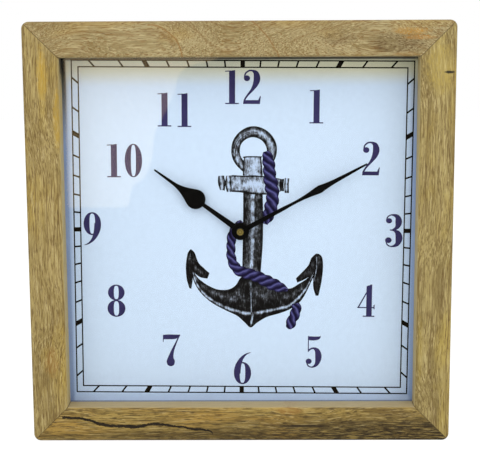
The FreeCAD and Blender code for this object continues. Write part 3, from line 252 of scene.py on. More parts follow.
bent = vectorSum(wood, "ADD", woodIn["Vector"], swayed)
figure, dashes, flecks, pores = (
    grained(wood, bent, *grainNoise[kind]) for kind in ("figure", "dashes", "flecks", "pores"))
patches = grained(wood, woodIn["Vector"], *grainNoise["patches"])
rings = sums(wood, "PINGPONG", times(wood, split(wood, bent)[1], woodIn["Bands"]), 0.5)
body = sums(wood, "MULTIPLY_ADD", figure, 0.5, times(wood, flecks, 0.5))
fields = {"rings": rings, "body": body, "glow": patches, "pale": flecks, "dashes": dashes,
          "growth": patches, "pores": pores, "gloss": dashes}
masks = {kind: spread(wood, field, *grainMask[kind]) for kind, field in fields.items()}
colour = blend(wood, masks["body"], woodIn["Deep"], woodIn["Pale"])
for mask, ink in (
        (masks["glow"], woodIn["Glow"]), (masks["pale"], srgb(*grainInk["pale"])),
        (times(wood, masks["dashes"], woodIn["Streaks"]), woodIn["Streak"]),
        (times(wood, masks["rings"], masks["growth"]), woodIn["Streak"]),
        (times(wood, masks["pores"], 0.5), srgb(*grainInk["pores"]))):
    colour = blend(wood, mask, colour, ink)
connect(wood, woodOut, {
    "Colour": colour, "Roughness": masks["gloss"], "Dashes": masks["dashes"],
    "Height": sums(wood, "SUBTRACT", times(wood, dashes, -0.5), masks["pores"])})
print("node groups made")

plainLook = {"scale": 900.0, "smooth": 0.3, "rough": 0.5, "bump": 0.25, "metallic": 0.0, "shine": 0.5}


def plain(name, light, dark, **changes):
    # a worn surface on an ordinary shader
    material, tree = newMaterial(name)
    look = {**plainLook, **changes}
    surface = useGroup(tree, wear, {
        "Vector": coordinates(tree), "Scale": look["scale"], "Light": srgb(*light),
        "Dark": srgb(*dark), "Smooth": look["smooth"], "Rough": look["rough"]})
    finished(tree, surface["Colour"], surface["Roughness"], surface["Height"], bump=look["bump"],
             metallic=look["metallic"], shine=look["shine"])
    return material


def woodGrain(tree, look, upright, shift):
    # the vector's X runs along the rail or strip, so that one grain serves all of them
    parts = split(tree, coordinates(tree))
    order = (2, 0, 1) if upright else (0, 2, 1)
    turned = add(tree, "CombineXYZ", {k: parts[order[k]] for k in range(3)}).outputs[0]
    vector = vectorSum(tree, "ADD", turned, shift)
    inks = {label: srgb(*look[label.lower()]) for label in ("Pale", "Deep", "Glow", "Streak")}
    amounts = {label: look[label.lower()] for label in ("Bands", "Bend", "Streaks")}
    return parts, vector, useGroup(tree, wood, {"Vector": vector, **inks, **amounts})


# Frame rails, in metres. A spot is x, z, half width, half height, colour and amount, and then its
# depth and reach where it isn't on the front. An arc is x, z, radius, colour and amount
middle = 0.15
# inner is the colour of the inner faces of the lip: painted light bounced off the dial, and painted shade
# on the top rail
rails = {
    "frame_top_rail": {
        "upright": False, "shift": (0.31, 0.02, 0.4), "bands": 95.0, "bend": 0.09, "streaks": 0.8,
        "pale": (167, 151, 107), "deep": (136, 117, 72), "glow": (168, 142, 84), "streak": (124, 90, 42),
        "inner": (144, 129, 93),
        "spots": [(0.068, 0.2879, 0.016, 0.006, (104, 82, 48), 0.7),
            (-0.0736, 0.2845, 0.03, 0.009, (190, 174, 128), 0.18),
            (0.1105, 0.2849, 0.026, 0.01, (92, 72, 42), 0.75),
            (0.1186, 0.2924, 0.016, 0.0032, (190, 136, 44), 0.66),
            (0.1235, 0.2883, 0.014, 0.0022, (182, 122, 34), 0.66),
            (0.1155, 0.2767, 0.012, 0.002, (160, 118, 52), 0.5)],
        "arcs": [(-0.0628, 0.2735, 0.0238, (140, 100, 48), 0.75),
            (-0.025, 0.2541, 0.0566, (136, 98, 48), 0.7)]},
    "frame_bottom_rail": {
        "upright": False, "shift": (0.77, 0.31, 0.1), "bands": 130.0, "bend": 0.025, "streaks": 0.75,
        "pale": (172, 145, 76), "deep": (122, 98, 44), "glow": (176, 140, 64), "streak": (62, 46, 22),
        "inner": (186, 166, 124),
        "spots": [(0.0354, 0.0223, 0.0125, 0.0034, (158, 104, 42), 0.6),
            (0.0441, 0.0111, 0.022, 0.0013, (40, 30, 20), 0.8),
            (0.0801, 0.0133, 0.03, 0.0015, (52, 40, 24), 0.6),
            (-0.0909, 0.0173, 0.002, 0.0006, (60, 44, 26), 0.9),
            (0.1088, 0.02, 0.024, 0.0042, (92, 72, 42), 0.6)]},
    "frame_left_stile": {
        "upright": True, "shift": (0.12, 0.53, 0.2), "bands": 120.0, "bend": 0.025, "streaks": 0.8,
        "pale": (170, 149, 92), "deep": (135, 114, 62), "glow": (174, 147, 68), "streak": (104, 78, 36),
        "inner": (190, 168, 114),
        # the first spot below is painted shade in the lip's top-left inner corner, not a stain
        "spots": [(-0.1255, 0.2785, 0.004, 0.026, (30, 24, 17), 0.92, -0.0125, 0.011),
            (-0.1363, 0.2636, 0.0045, 0.024, (196, 158, 52), 0.65),
            (-0.1267, 0.2339, 0.0035, 0.028, (196, 158, 50), 0.65),
            (-0.1353, 0.0591, 0.006, 0.014, (158, 110, 44), 0.5)]},
    "frame_right_stile": {
        "upright": True, "shift": (0.45, 0.24, 0.8), "bands": 100.0, "bend": 0.025, "streaks": 0.75,
        "pale": (168, 149, 92), "deep": (128, 109, 61), "glow": (176, 152, 74), "streak": (104, 79, 38),
        "inner": (186, 164, 110),
        "spots": [(0.1383, 0.2685, 0.012, 0.024, (192, 168, 84), 0.6),
            (0.1452, 0.2643, 0.0044, 0.0013, (36, 28, 20), 0.95),
            (0.1281, 0.0673, 0.0022, 0.03, (176, 152, 60), 0.45),
            (0.1386, 0.1505, 0.004, 0.006, (126, 104, 60), 0.5)]},
}
# a span of four numbers: where a change starts and ends, and its amounts there
railFace = {"front": -0.025, "through": 1.0, "fade": (0.002, -0.008), "knot": 0.8, "edge": 0.45,
            "wallLightAndShade": (0.1256, 0.1251, 0.0, 0.8), "mitre": (0.00042, 0.00012, 0.0, 0.85),
            "mitreColour": (66, 48, 24), "arcHalf": (0.0008, 0.0002), "arcBend": 0.002,
            "arcNoise": (220.0, 2.0), "inGrain": (0.0, 0.7, 0.4, 1.0), "relief": (0.00025, 0.35)}
# painted shade towards the foot and the lower right of the bottom rail
footShade = {"lean": -0.045, "low": (0.0195, 0.004, 0.0, 0.97), "right": (-0.12, 0.10, 0.6, 1.0),
        "noise": (110.0, 1200.0, 5.0, 0.7), "caught": (0.42, 0.56, 0.4, 1.0),
        "colour": (50, 38, 18)}
crack = {"start": -0.1292, "end": -0.0202, "low": 0.0027, "high": 0.0184, "widest": 0.38,
         "halfWidths": (0.0007, 0.0011), "taper": (0.5, 0.05), "wander": 0.0008,
         "noise": (170.0, 5.0, 0.7), "amount": 0.95,
         "colour": (26, 19, 12),
         "points": [(0.0, 0.936), (0.152, 0.887), (0.251, 0.647), (0.384, 0.525), (0.516, 0.548),
             (0.616, 0.642), (0.749, 0.545), (0.881, 0.4), (0.974, 0.304), (1.0, 0.064)]}


def withSpots(tree, colour, look, grain, atFront):
    # a stain gathers in the grain; a knot is dark all over, and so is the painted shade in the left
    # stile's inner corner at the top
    place = coordinates(tree)
    streaky = spread(tree, grain["Dashes"], *railFace["inGrain"])
    for x, z, wide, high, stain, amount, *inside in look["spots"]:
        depth, reach = inside or (railFace["front"], railFace["through"])
        given = {"Vector": place, "Centre": (x, depth, z), "Radii": (wide, reach, high),
                 "Edge": railFace["edge"]}
        strength = times(tree, useGroup(tree, spot, given)["Mask"], amount, atFront)
        if amount < railFace["knot"]:
            strength = times(tree, strength, streaky)
        colour = blend(tree, strength, colour, srgb(*stain))
    return colour


def withArcs(tree, colour, look, parts, atFront):
    # single growth lines, each the right half of a circle round its centre
    place = coordinates(tree)
    for x, z, radius, stain, amount in look.get("arcs", []):
        flat = vectorSum(tree, "MULTIPLY", vectorSum(tree, "SUBTRACT", place, (x, 0, z)), (1, 0, 1))
        bend = noise(tree, place, *railFace["arcNoise"])
        reach = sums(tree, "MULTIPLY_ADD", bend, railFace["arcBend"], vectorSum(tree, "LENGTH", flat))
        off = apart(tree, reach, radius + railFace["arcBend"] / 2)
        drawn = spread(tree, off, *railFace["arcHalf"], 0.0, amount)
        onRight = sums(tree, "GREATER_THAN", parts[0], x)
        colour = blend(tree, times(tree, drawn, onRight, atFront), colour, srgb(*stain))
    return colour


def withFootShade(tree, colour, parts, vector, grain):
    # painted shade: darker below a slanting line and more to the right, where the light falls off, broken
    # up by the open grain and a fine noise
    leaning = sums(tree, "MULTIPLY_ADD", parts[0], footShade["lean"], parts[2])
    ground = spread(tree, grained(tree, vector, *footShade["noise"]), *footShade["caught"])
    caught = sums(tree, "MAXIMUM", ground, grain["Dashes"])
    amount = times(tree, spread(tree, leaning, *footShade["low"]),
                   spread(tree, parts[0], *footShade["right"]), caught)
    return blend(tree, amount, colour, srgb(*footShade["colour"]))


def withCrack(tree, colour, parts, atFront):
    # a split with a wavy line: its height above the foot is a curve over the width
    run = spread(tree, parts[0], crack["start"], crack["end"], kind="LINEAR")
    curve = add(tree, "FloatCurve", {"Value": run})
    points = curve.mapping.curves[0].points
    while len(points) < len(crack["points"]):
        points.new(0.5, 0.5)
    for point, place in zip(points, crack["points"]):
        point.location = place
    curve.mapping.update()
    rise = spread(tree, curve.outputs[0], 0.0, 1.0, crack["low"], crack["high"], "LINEAR")
    ragged = noise(tree, coordinates(tree), *crack["noise"])
    wander = spread(tree, ragged, 0.3, 0.7, -crack["wander"], crack["wander"], "LINEAR")
    gap = apart(tree, parts[2], sums(tree, "ADD", rise, wander))
    off = apart(tree, run, crack["widest"])
    belly = spread(tree, off, *crack["taper"], *crack["halfWidths"])
    inside = times(tree, sums(tree, "GREATER_THAN", run, 0.001), sums(tree, "LESS_THAN", run, 0.999))
    line = times(tree, sums(tree, "LESS_THAN", gap, belly), inside, atFront, crack["amount"])
    return blend(tree, line, colour, srgb(*crack["colour"]))


def railMaterial(name, look):
    material, tree = newMaterial(f"wood_{name}")
    parts, vector, grain = woodGrain(tree, look, look["upright"], look["shift"])
    sideways = sums(tree, "ABSOLUTE", parts[0])
    upwards = apart(tree, parts[2], middle)
    # the lip's inner faces, each in its own greyer colour: painted light bounced off the dial, and
    # painted shade on the top rail's face that looks down
    wallLightAndShade = spread(tree, sums(tree, "MAXIMUM", sideways, upwards), *railFace["wallLightAndShade"])
    colour = blend(tree, wallLightAndShade, grain["Colour"], srgb(*look["inner"]))
    # stains and the split stay near the front
    atFront = spread(tree, parts[1], *railFace["fade"])
    colour = withSpots(tree, colour, look, grain, atFront)
    colour = withArcs(tree, colour, look, parts, atFront)
    # the open mitre: a dark line where the two distances from the middle are the same
    mitre = spread(tree, apart(tree, sideways, upwards), *railFace["mitre"])
    colour = blend(tree, mitre, colour, srgb(*railFace["mitreColour"]))
    if name == "frame_bottom_rail":
        colour = withFootShade(tree, colour, parts, vector, grain)
        colour = withCrack(tree, colour, parts, atFront)
    finished(tree, colour, grain["Roughness"], grain["Height"], *railFace["relief"], shine=0.3)
    return material


def paint(name, material):
    mesh = nodes[name].data
    mesh.materials.clear()
    mesh.materials.append(material)


for railName, railLook in rails.items():
    paint(railName, railMaterial(railName, railLook))
print("frame painted")

# Glass: clear to lamps and to soft light, so that the dial is lit through it
glassLook = {"noise": (60.0, 3.0), "tints": ((0.985, 1.0, 0.99, 1), (1.0, 1.0, 1.0, 1)),
             "index": 1.5, "clear": (0.99, 1.0, 0.995, 1.0)}
pane, tree = newMaterial("windowGlass")
smudge = noise(tree, coordinates(tree), *glassLook["noise"])
clear = add(tree, "BsdfPrincipled", {
    "Base Color": blend(tree, smudge, *glassLook["tints"]), "Roughness": 0.0,
    "IOR": glassLook["index"], "Transmission Weight": 1.0})
unseen = add(tree, "BsdfTransparent", {"Color": glassLook["clear"]})
path = add(tree, "LightPath").outputs
soft = sums(tree, "MAXIMUM", path["Is Shadow Ray"], path["Is Diffuse Ray"])
toOutput(tree, mixShaders(tree, soft, clear, unseen))
paint("glass_pane", pane)


# Boards and strips of plain wood
pine = {"pale": (192, 164, 116), "deep": (164, 132, 84), "glow": (192, 164, 116),
        "streak": (92, 68, 32), "bands": 240.0, "bend": 0.01, "streaks": 0.3}


def stripMaterial(name, upright, shift):
    material, tree = newMaterial(name)
    grain = woodGrain(tree, pine, upright, shift)[2]
    finished(tree, grain["Colour"], grain["Roughness"], grain["Height"])
    return material


# the spacers are a dull blue-grey: painted shade of the deep recess behind the lip
spacerShade = {"light": (122, 134, 160), "dark": (98, 109, 134), "smooth": 0.6, "rough": 0.8}
for side in ("top", "bottom", "left", "right"):
    shift = (0.1 * len(side), 0.2, 0.05)
    paint(f"retainer_{side}", stripMaterial(f"pine_{side}", side in ("left", "right"), shift))
    paint(f"spacer_{side}", plain(f"shade_{side}", **spacerShade))

# light and dark colour, and what differs from the plain look
looks = {
    "corner_wedges": ((176, 178, 180), (120, 122, 126), {"metallic": 1.0}),
    "hanger_plate": ((158, 153, 140), (108, 104, 95), {"metallic": 1.0, "smooth": 0.28, "rough": 0.5,
                                                       "bump": 0.15}),
    "dial_board": ((120, 87, 55), (98, 70, 44), {"scale": 1400.0, "smooth": 0.65, "rough": 0.85,
                                                 "bump": 0.5}),
    "cushion_pad": ((34, 34, 36), (18, 18, 20), {"smooth": 0.7, "rough": 0.9}),
    "case_front": ((30, 30, 32), (20, 20, 22), {"scale": 2200.0, "smooth": 0.45, "rough": 0.62,
                                                "bump": 0.35}),
    "case_back": ((32, 32, 34), (21, 21, 23), {"scale": 2200.0, "smooth": 0.45, "rough": 0.62,
                                               "bump": 0.35}),
    "gear_plate": ((226, 224, 216), (204, 202, 194), {}),
    "coil_bobbin": ((222, 220, 214), (198, 196, 190), {}),
    "minute_shaft": ((214, 208, 190), (176, 168, 148), {}),
    "hour_wheel": ((232, 226, 208), (206, 198, 178), {}),
    "motion_wheel": ((236, 232, 220), (208, 204, 192), {}),
    "rotor_pinion": ((228, 222, 206), (202, 196, 180), {}),
    "intermediate_wheel": ((150, 190, 160), (120, 158, 130), {}),
    "seconds_wheel": ((232, 228, 214), (206, 200, 184), {}),
    "third_wheel": ((226, 200, 150), (196, 168, 118), {}),
    "centre_wheel": ((234, 230, 220), (208, 202, 190), {}),
    "setting_knob": ((48, 48, 50), (28, 28, 30), {"smooth": 0.35, "rough": 0.55}),
    "rotor_magnet": ((92, 92, 96), (58, 58, 62), {"metallic": 0.7}),
    "stator": ((188, 190, 192), (138, 140, 144), {"metallic": 1.0}),
    "coil_core": ((184, 186, 188), (134, 136, 140), {"metallic": 1.0}),
    "circuit_board": ((60, 96, 62), (38, 70, 42), {"scale": 1600.0}),
    "controller_chip": ((30, 30, 32), (14, 14, 16), {"smooth": 0.5, "rough": 0.75}),
    "quartz_crystal": ((206, 208, 210), (164, 166, 170), {"metallic": 1.0, "smooth": 0.15, "rough": 0.3}),
    "contact_plus": ((206, 204, 198), (160, 158, 152), {"metallic": 1.0}),
    "hour_hand": ((14, 12, 10), (8, 7, 6), {"smooth": 0.4, "rough": 0.55, "bump": 0.1, "shine": 0.02}),
    "fixing_nut": ((196, 164, 92), (150, 118, 58), {"metallic": 1.0}),
    "bush_washer": ((200, 168, 96), (154, 122, 62), {"metallic": 1.0}),
}
looks["contact_minus"] = looks["contact_plus"]
looks["minute_hand"] = looks["hour_hand"]
for nodeName, (light, dark, changes) in looks.items():
    paint(nodeName, plain(f"look_{nodeName}", light, dark, **changes))

# Winding: fine turns across the coil's length
wire = {"scale": 900.0, "waver": 0.3, "inks": [(0.0, (120, 62, 34)), (1.0, (206, 124, 76))],
        "gloss": (0.0, 1.0, 0.5, 0.28)}
winding, tree = newMaterial("copperWire")
waves = {"Vector": coordinates(tree), "Scale": wire["scale"], "Distortion": wire["waver"]}
turns = add(tree, "TexWave", waves, bands_direction="X").outputs[1]
finished(tree, ramp(tree, turns, wire["inks"]), spread(tree, turns, *wire["gloss"]), turns,
         metallic=1.0)
paint("coil_winding", winding)

# Cell: a wrapper in two plain colours between bare metal ends
cell = {"zones": [(0.0, (184, 184, 182)), (0.03, (34, 36, 40)), (0.68, (190, 126, 62)),
                  (0.95, (186, 186, 184))], "wrapMiddle": 0.49, "wrapHalf": 0.46,
        "noise": (700.0, 4.0), "gloss": (0.3, 0.7, 0.24, 0.42)}
cellLow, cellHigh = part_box("battery_cell")
sleeve, tree = newMaterial("cellSleeve")
reachAlong = spread(tree, split(tree, coordinates(tree))[0], cellLow[0], cellHigh[0], kind="LINEAR")
bare = sums(tree, "GREATER_THAN", apart(tree, reachAlong, cell["wrapMiddle"]), cell["wrapHalf"])
scuffs = noise(tree, coordinates(tree), *cell["noise"])
finished(tree, ramp(tree, reachAlong, cell["zones"], "CONSTANT"),
         spread(tree, scuffs, *cell["gloss"]), scuffs, 0.00005, metallic=bare)
paint("battery_cell", sleeve)

# Dial sheet, with painted shade at its borders where the deep lip keeps light off them: cold at the sides
# and the foot, a warm grey under the top rail, and darkest in a corner and in a line at the top
dial = {"front": 3.5, "offset": (1.33, -0.09), "turn": math.radians(0.463)}
paperLook = {
    "fibres": (260.0, 4.0), "sheet": ((206, 222, 244), (210, 226, 248)), "mix": (0.3, 0.7),
    "gloss": (0.55, 0.7),
    "cold": (118, 143, 192), "warm": (148, 146, 132), "turnsWarm": (0.205, 0.265),
    "sides": (0.1205, 0.1258, 0.0, 0.7), "foot": (0.0300, 0.0245, 0.0, 0.28),
    "upper": (222, 210, 154), "upperAcross": (-0.12, 0.12, 0.6, 0.75), "upperUp": (0.2520, 0.2680),
    "nook": (34, 30, 26), "nookAcross": (-0.1234, -0.1246), "nookUp": (0.21, 0.268, 0.15, 0.97),
    "eaves": (44, 39, 28), "eavesUp": (0.2718, 0.2734, 0.0, 0.9)}
paper, tree = newMaterial("dialPaper")
fibres = noise(tree, coordinates(tree), *paperLook["fibres"])
across, _, upward = split(tree, coordinates(tree))
pageTints = [srgb(*ink) for ink in paperLook["sheet"]]
tint = blend(tree, spread(tree, fibres, *paperLook["mix"]), *pageTints)
dull = blend(tree, spread(tree, upward, *paperLook["turnsWarm"]),
             srgb(*paperLook["cold"]), srgb(*paperLook["warm"]))
border = sums(tree, "MAXIMUM", spread(tree, sums(tree, "ABSOLUTE", across), *paperLook["sides"]),
              spread(tree, upward, *paperLook["foot"]))
tint = blend(tree, border, tint, dull)
upper = times(tree, spread(tree, across, *paperLook["upperAcross"]),
              spread(tree, upward, *paperLook["upperUp"]))
nook = times(tree, spread(tree, across, *paperLook["nookAcross"]),
             spread(tree, upward, *paperLook["nookUp"]))
eaves = spread(tree, upward, *paperLook["eavesUp"])
for mask, ink in ((upper, "upper"), (nook, "nook"), (eaves, "eaves")):
    tint = blend(tree, mask, tint, srgb(*paperLook[ink]))
gloss = spread(tree, fibres, *paperLook["mix"], *paperLook["gloss"])
finished(tree, tint, gloss, fibres, 0.00003, shine=0.1)
paint("dial_face", paper)
print("inner pieces painted")


# Mesh helpers
def patchFaces(rows, columns, wrapRows=False, wrapColumns=False):
    # each face joins a point to the next one on, the next one beside and the one between
    i = np.arange(rows if wrapRows else rows - 1)
    j = np.arange(columns if wrapColumns else columns - 1)
    i, j = np.meshgrid(i, j, indexing="ij")
    after, beside = (i + 1) % rows, (j + 1) % columns
    quads = [i * columns + j, after * columns + j, after * columns + beside, i * columns + beside]
    return np.stack(quads, -1).reshape(-1, 4)


def makePiece(name, patches, material, body="clock", smooth=False):
    # patches are grids of points in metres, each with a two-number coordinate for its material
    points, quads, marks, count = [], [], [], 0
    for patch in patches:
        grid = patch["points"]
        faces = patchFaces(*grid.shape[:2], patch.get("wrapRows", False),
                           patch.get("wrapColumns", False))
        if patch.get("flip"):
            faces = faces[:, ::-1]
        points.append(grid.reshape(-1, 3))
        marks.append(patch["uv"].reshape(-1, 2))
        quads.append(faces + count)
        count += grid.shape[0] * grid.shape[1]
    points, quads, marks = np.vstack(points), np.vstack(quads), np.vstack(marks)
    mesh = bpy.data.meshes.new(name)
    mesh.vertices.add(len(points))
    mesh.vertices.foreach_set("co", points.astype(np.float32).ravel())
    mesh.loops.add(quads.size)
    mesh.loops.foreach_set("vertex_index", quads.astype(np.int32).ravel())
    mesh.polygons.add(len(quads))
    mesh.polygons.foreach_set("loop_start", np.arange(len(quads), dtype=np.int32) * 4)
    layer = mesh.uv_layers.new(name="UVMap")
    layer.data.foreach_set("uv", marks[quads.ravel()].astype(np.float32).ravel())
    mesh.update(calc_edges=True)
    mesh.validate()
    mesh.polygons.foreach_set("use_smooth", np.full(len(mesh.polygons), smooth))
    piece = bpy.data.objects.new(name, mesh)
    scene.collection.objects.link(piece)
    mesh.materials.append(material)
    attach(piece, body)
    return piece


def spline(points, steps):
    # a smooth curve through the points: on each span a cubic whose slope at a point is half
    # the difference between its two neighbours
    p = np.array(points, float)
    p = np.vstack([2 * p[0] - p[1], p, 2 * p[-1] - p[-2]])
    t = np.linspace(0, 1, steps, endpoint=False)[None, :, None]
    a, b, c, d = (p[k:len(p) - 3 + k][:, None, :] for k in range(4))
    curve = 2 * b + (c - a) * t + (2 * a - 5 * b + 4 * c - d) * t**2 + (3 * b - a - 3 * c + d) * t**3
    return np.vstack([(0.5 * curve).reshape(-1, p.shape[1]), p[-2]])


def onDial(flat, lift):
    # print millimetres, turned clockwise and shifted as the sheet sits in the frame
    x, z = flat[..., 0], flat[..., 1]
    cosine, sine = math.cos(dial["turn"]), math.sin(dial["turn"])
    across = x * cosine + z * sine + dial["offset"][0]
    upward = z * cosine - x * sine + dial["offset"][1] + middle / mm
    return np.stack([across, np.full_like(x, dial["front"] - lift), upward], -1) * mm


def alongRun(points):
    # the length of the path up to each of its points
    steps = np.linalg.norm(np.diff(points, axis=0), axis=1)
    return np.concatenate([[0.0], np.cumsum(steps)])


def sheet(first, second, lift, columns, wrap=False):
    # a flat skin between two edges: each row goes straight from one to the other
    first, second = np.array(first, float), np.array(second, float)
    v = np.linspace(0, 1, columns)[None, :, None]
    flat = first[:, None, :] * (1 - v) + second[:, None, :] * v
    uv = np.stack(np.broadcast_arrays(alongRun((first + second) / 2)[:, None], v[:, :, 0]), -1)
    # twice the skin's signed area says which way it faces
    p, q = flat[1:, 1:] - flat[:-1, :-1], flat[:-1, 1:] - flat[1:, :-1]
    area = np.sum(p[..., 0] * q[..., 1] - p[..., 1] * q[..., 0])
    return {"points": onDial(flat, lift), "uv": uv, "wrapRows": wrap, "flip": area < 0}


strandEdge = {"slim": 0.84, "bulge": 0.2}


def ribbon(points, lift, steps, columns=5, pitch=0.0, slant=0.0):
    # a stroke along a smooth path, as wide at each point as its third number says
    curve = spline(points, steps)
    slope = np.gradient(curve[:, :2], axis=0)
    slope /= np.linalg.norm(slope, axis=1)[:, None]
    normal = np.stack([-slope[:, 1], slope[:, 0]], -1)
    half = np.maximum(curve[:, 2:3], 0.0)
    left, right = half, half
    if pitch:
        # strands bulge between their seams, and a seam runs slantwise from edge to edge
        turns = alongRun(curve[:, :2])[:, None] / pitch
        left, right = (
            half * (strandEdge["slim"] + strandEdge["bulge"] * np.abs(np.sin(np.pi * (turns + ahead))))
            for ahead in (0.0, slant))
    return sheet(curve[:, :2] + normal * left, curve[:, :2] - normal * right, lift, columns)


def ovalRing(centre, outer, inner, lift, count=56, power=0.7):
    # the skin between two ovals; an inner one without size makes a disc
    angle = np.linspace(0, 2 * np.pi, count, endpoint=False)
    circle = np.stack([np.cos(angle), np.sin(angle)], -1)
    # the inner oval is squarer: its cosine and sine are raised to a power below one
    slot = np.sign(circle) * np.abs(circle) ** power
    centre = np.array(centre)
    return sheet(centre + circle * np.array(outer), centre + slot * np.array(inner), lift, 3, True)


# Print inks
inkLook = {"smooth": 0.5, "rough": 0.7, "bump": 0.05, "shine": 0.0}
trackInk = plain("trackInk", (32, 26, 18), (22, 17, 11), **inkLook)
numeralInk = plain("numeralInk", (62, 56, 98), (52, 47, 84), **inkLook)
# millimetres in front of the sheet, and from one layer to the next
lifts = {"track": 0.03, "trackStep": 0.004, "numerals": 0.03, "numeralStep": 0.003,
         "anchor": 0.03, "rope": 0.07}

# Minute track: two squares, and marks that point at the middle
track = {"outer": 122.52, "inner": 117.77, "line": 0.9, "thin": 1.2, "thick": 3.2}


def squareLine(half, width, lift):
    # the skin between a square and a smaller one
    corner = np.array([[-1, -1], [1, -1], [1, 1], [-1, 1], [-1, -1]], float)
    return sheet(corner * half, corner * (half - width), lift, 2)


def mark(angle, width, lift):
    # both sides run along the mark's direction and end on the two squares
    ahead = np.array([math.sin(angle), math.cos(angle)])
    beside = np.array([ahead[1], -ahead[0]]) * width / 2
    main = int(abs(ahead[1]) > abs(ahead[0]))
    ends = []
    for half in (track["inner"] - track["line"] / 2, track["outer"] - track["line"] / 2):
        edge = []
        for sign in (-1, 1):
            start = beside * sign
            reach = (half - start[main] * np.sign(ahead[main])) / abs(ahead[main])
            edge.append(start + ahead * reach)
        ends.append(edge)
    return sheet(ends[0], ends[1], lift, 2)


patches = [squareLine(track["outer"], track["line"], lifts["track"]),
           squareLine(track["inner"], track["line"], lifts["track"] + lifts["trackStep"])]
for minute in range(60):
    width = track["thick"] if minute % 5 == 0 else track["thin"]
    patches.append(mark(math.radians(6 * minute), width, lifts["track"] + 2 * lifts["trackStep"]))
makePiece("minuteTrack", patches, trackInk)
print("track printed")

# Numerals: strokes as (x, y, half width), bars between two edges, and ovals, in shares of the height
digits = {
    "0": {"width": 0.517, "ovals": [((0.2585, 0.5), (0.2585, 0.5), (0.074, 0.468))]},
    "1": {"width": 0.405,
        "bars": [([(0.115, 0.97), (0.115, 0.02)], [(0.295, 1.0), (0.295, 0.02)]),
          ([(0.0, 0.975), (0.16, 0.985)], [(0.0, 0.948), (0.16, 0.955)]),
          ([(0.0, 0.0), (0.405, 0.0)], [(0.0, 0.036), (0.405, 0.036)])]},
    "2": {"width": 0.525, "ovals": [((0.115, 0.755), (0.092, 0.085), (0, 0))],
        "strokes": [[(0.045, 0.76, 0.022), (0.07, 0.89, 0.022), (0.17, 0.972, 0.024),
          (0.28, 0.975, 0.03), (0.375, 0.905, 0.075), (0.41, 0.76, 0.098), (0.375, 0.6, 0.083),
          (0.27, 0.42, 0.045), (0.13, 0.25, 0.028), (0.05, 0.12, 0.026), (0.03, 0.03, 0.026)]],
        "bars": [([(0.0, 0.0), (0.5, 0.0)], [(0.02, 0.115), (0.47, 0.115)]),
          ([(0.44, 0.1), (0.505, 0.235)], [(0.5, 0.0), (0.528, 0.235)])]},
    "3": {"width": 0.53,
        "ovals": [((0.122, 0.8), (0.09, 0.08), (0, 0)), ((0.112, 0.21), (0.098, 0.088), (0, 0))],
        "strokes": [[(0.036, 0.8, 0.014), (0.085, 0.92, 0.02), (0.205, 0.978, 0.022),
          (0.36, 0.925, 0.066), (0.41, 0.77, 0.1), (0.365, 0.605, 0.062), (0.235, 0.53, 0.02),
          (0.15, 0.522, 0.016)],
         [(0.15, 0.522, 0.016), (0.28, 0.505, 0.032), (0.39, 0.42, 0.082), (0.43, 0.26, 0.104),
          (0.37, 0.085, 0.062), (0.215, 0.02, 0.022), (0.085, 0.07, 0.02), (0.026, 0.2, 0.014)]]},
    "4": {"width": 0.525,
        "bars": [([(0.27, 0.95), (0.27, 0.02)], [(0.44, 1.0), (0.44, 0.02)]),
          ([(0.17, 0.0), (0.525, 0.0)], [(0.17, 0.036), (0.525, 0.036)]),
          ([(0.0, 0.27), (0.51, 0.27)], [(0.0, 0.305), (0.51, 0.305)]),
          ([(0.49, 0.24), (0.49, 0.36)], [(0.525, 0.23), (0.525, 0.38)]),
          ([(0.0, 0.28), (0.39, 1.0)], [(0.045, 0.28), (0.43, 1.0)])]},
    "5": {"width": 0.504, "ovals": [((0.105, 0.2), (0.092, 0.085), (0, 0))],
        "bars": [([(0.075, 0.995), (0.075, 0.5)], [(0.105, 0.99), (0.105, 0.5)])],
        "strokes": [[(0.08, 0.925, 0.06), (0.25, 0.915, 0.062), (0.38, 0.93, 0.05), (0.44, 0.965, 0.025),
          (0.455, 0.998, 0.004)],
         [(0.078, 0.5, 0.012), (0.14, 0.575, 0.025), (0.25, 0.61, 0.03), (0.36, 0.53, 0.075),
          (0.4, 0.34, 0.098), (0.35, 0.12, 0.06), (0.22, 0.02, 0.022), (0.09, 0.06, 0.02),
          (0.03, 0.2, 0.014)]]},
    "6": {"width": 0.53, "ovals": [((0.268, 0.35), (0.262, 0.35), (0.083, 0.305))],
        "strokes": [[(0.106, 0.34, 0.1), (0.113, 0.46, 0.1), (0.15, 0.62, 0.085), (0.235, 0.8, 0.055),
          (0.345, 0.92, 0.03), (0.44, 0.975, 0.016), (0.515, 0.998, 0.008)]]},
    "7": {"width": 0.525,
        "strokes": [[(0.025, 0.915, 0.07), (0.17, 0.92, 0.075), (0.36, 0.925, 0.07), (0.47, 0.95, 0.045),
          (0.525, 0.985, 0.014)],
         [(0.028, 0.98, 0.02), (0.012, 0.76, 0.01)],
         [(0.51, 0.975, 0.018), (0.4, 0.73, 0.024), (0.3, 0.49, 0.045), (0.245, 0.29, 0.08),
          (0.24, 0.16, 0.125), (0.24, 0.05, 0.1), (0.24, 0.0, 0.03)]]},
    "8": {"width": 0.544,
        "ovals": [((0.272, 0.755), (0.252, 0.245), (0.072, 0.205)),
          ((0.272, 0.262), (0.272, 0.262), (0.078, 0.222))]},
}
numeralHeight = 24.2
numerals = [("1", -7.6, 103.3), ("2", 6.6, 103.4), ("1", 52.8, 89.7), ("2", 92.4, 52.5),
            ("3", 109.8, 0.1), ("4", 90.8, -51.9), ("5", 52.9, -90.6), ("6", 0.5, -103.5),
            ("7", -51.9, -90.1), ("8", -92.1, -52.9), ("9", -108.8, 0.6), ("1", -92.6, 50.3),
            ("0", -78.5, 50.4), ("1", -55.9, 87.1), ("1", -41.6, 86.8)]


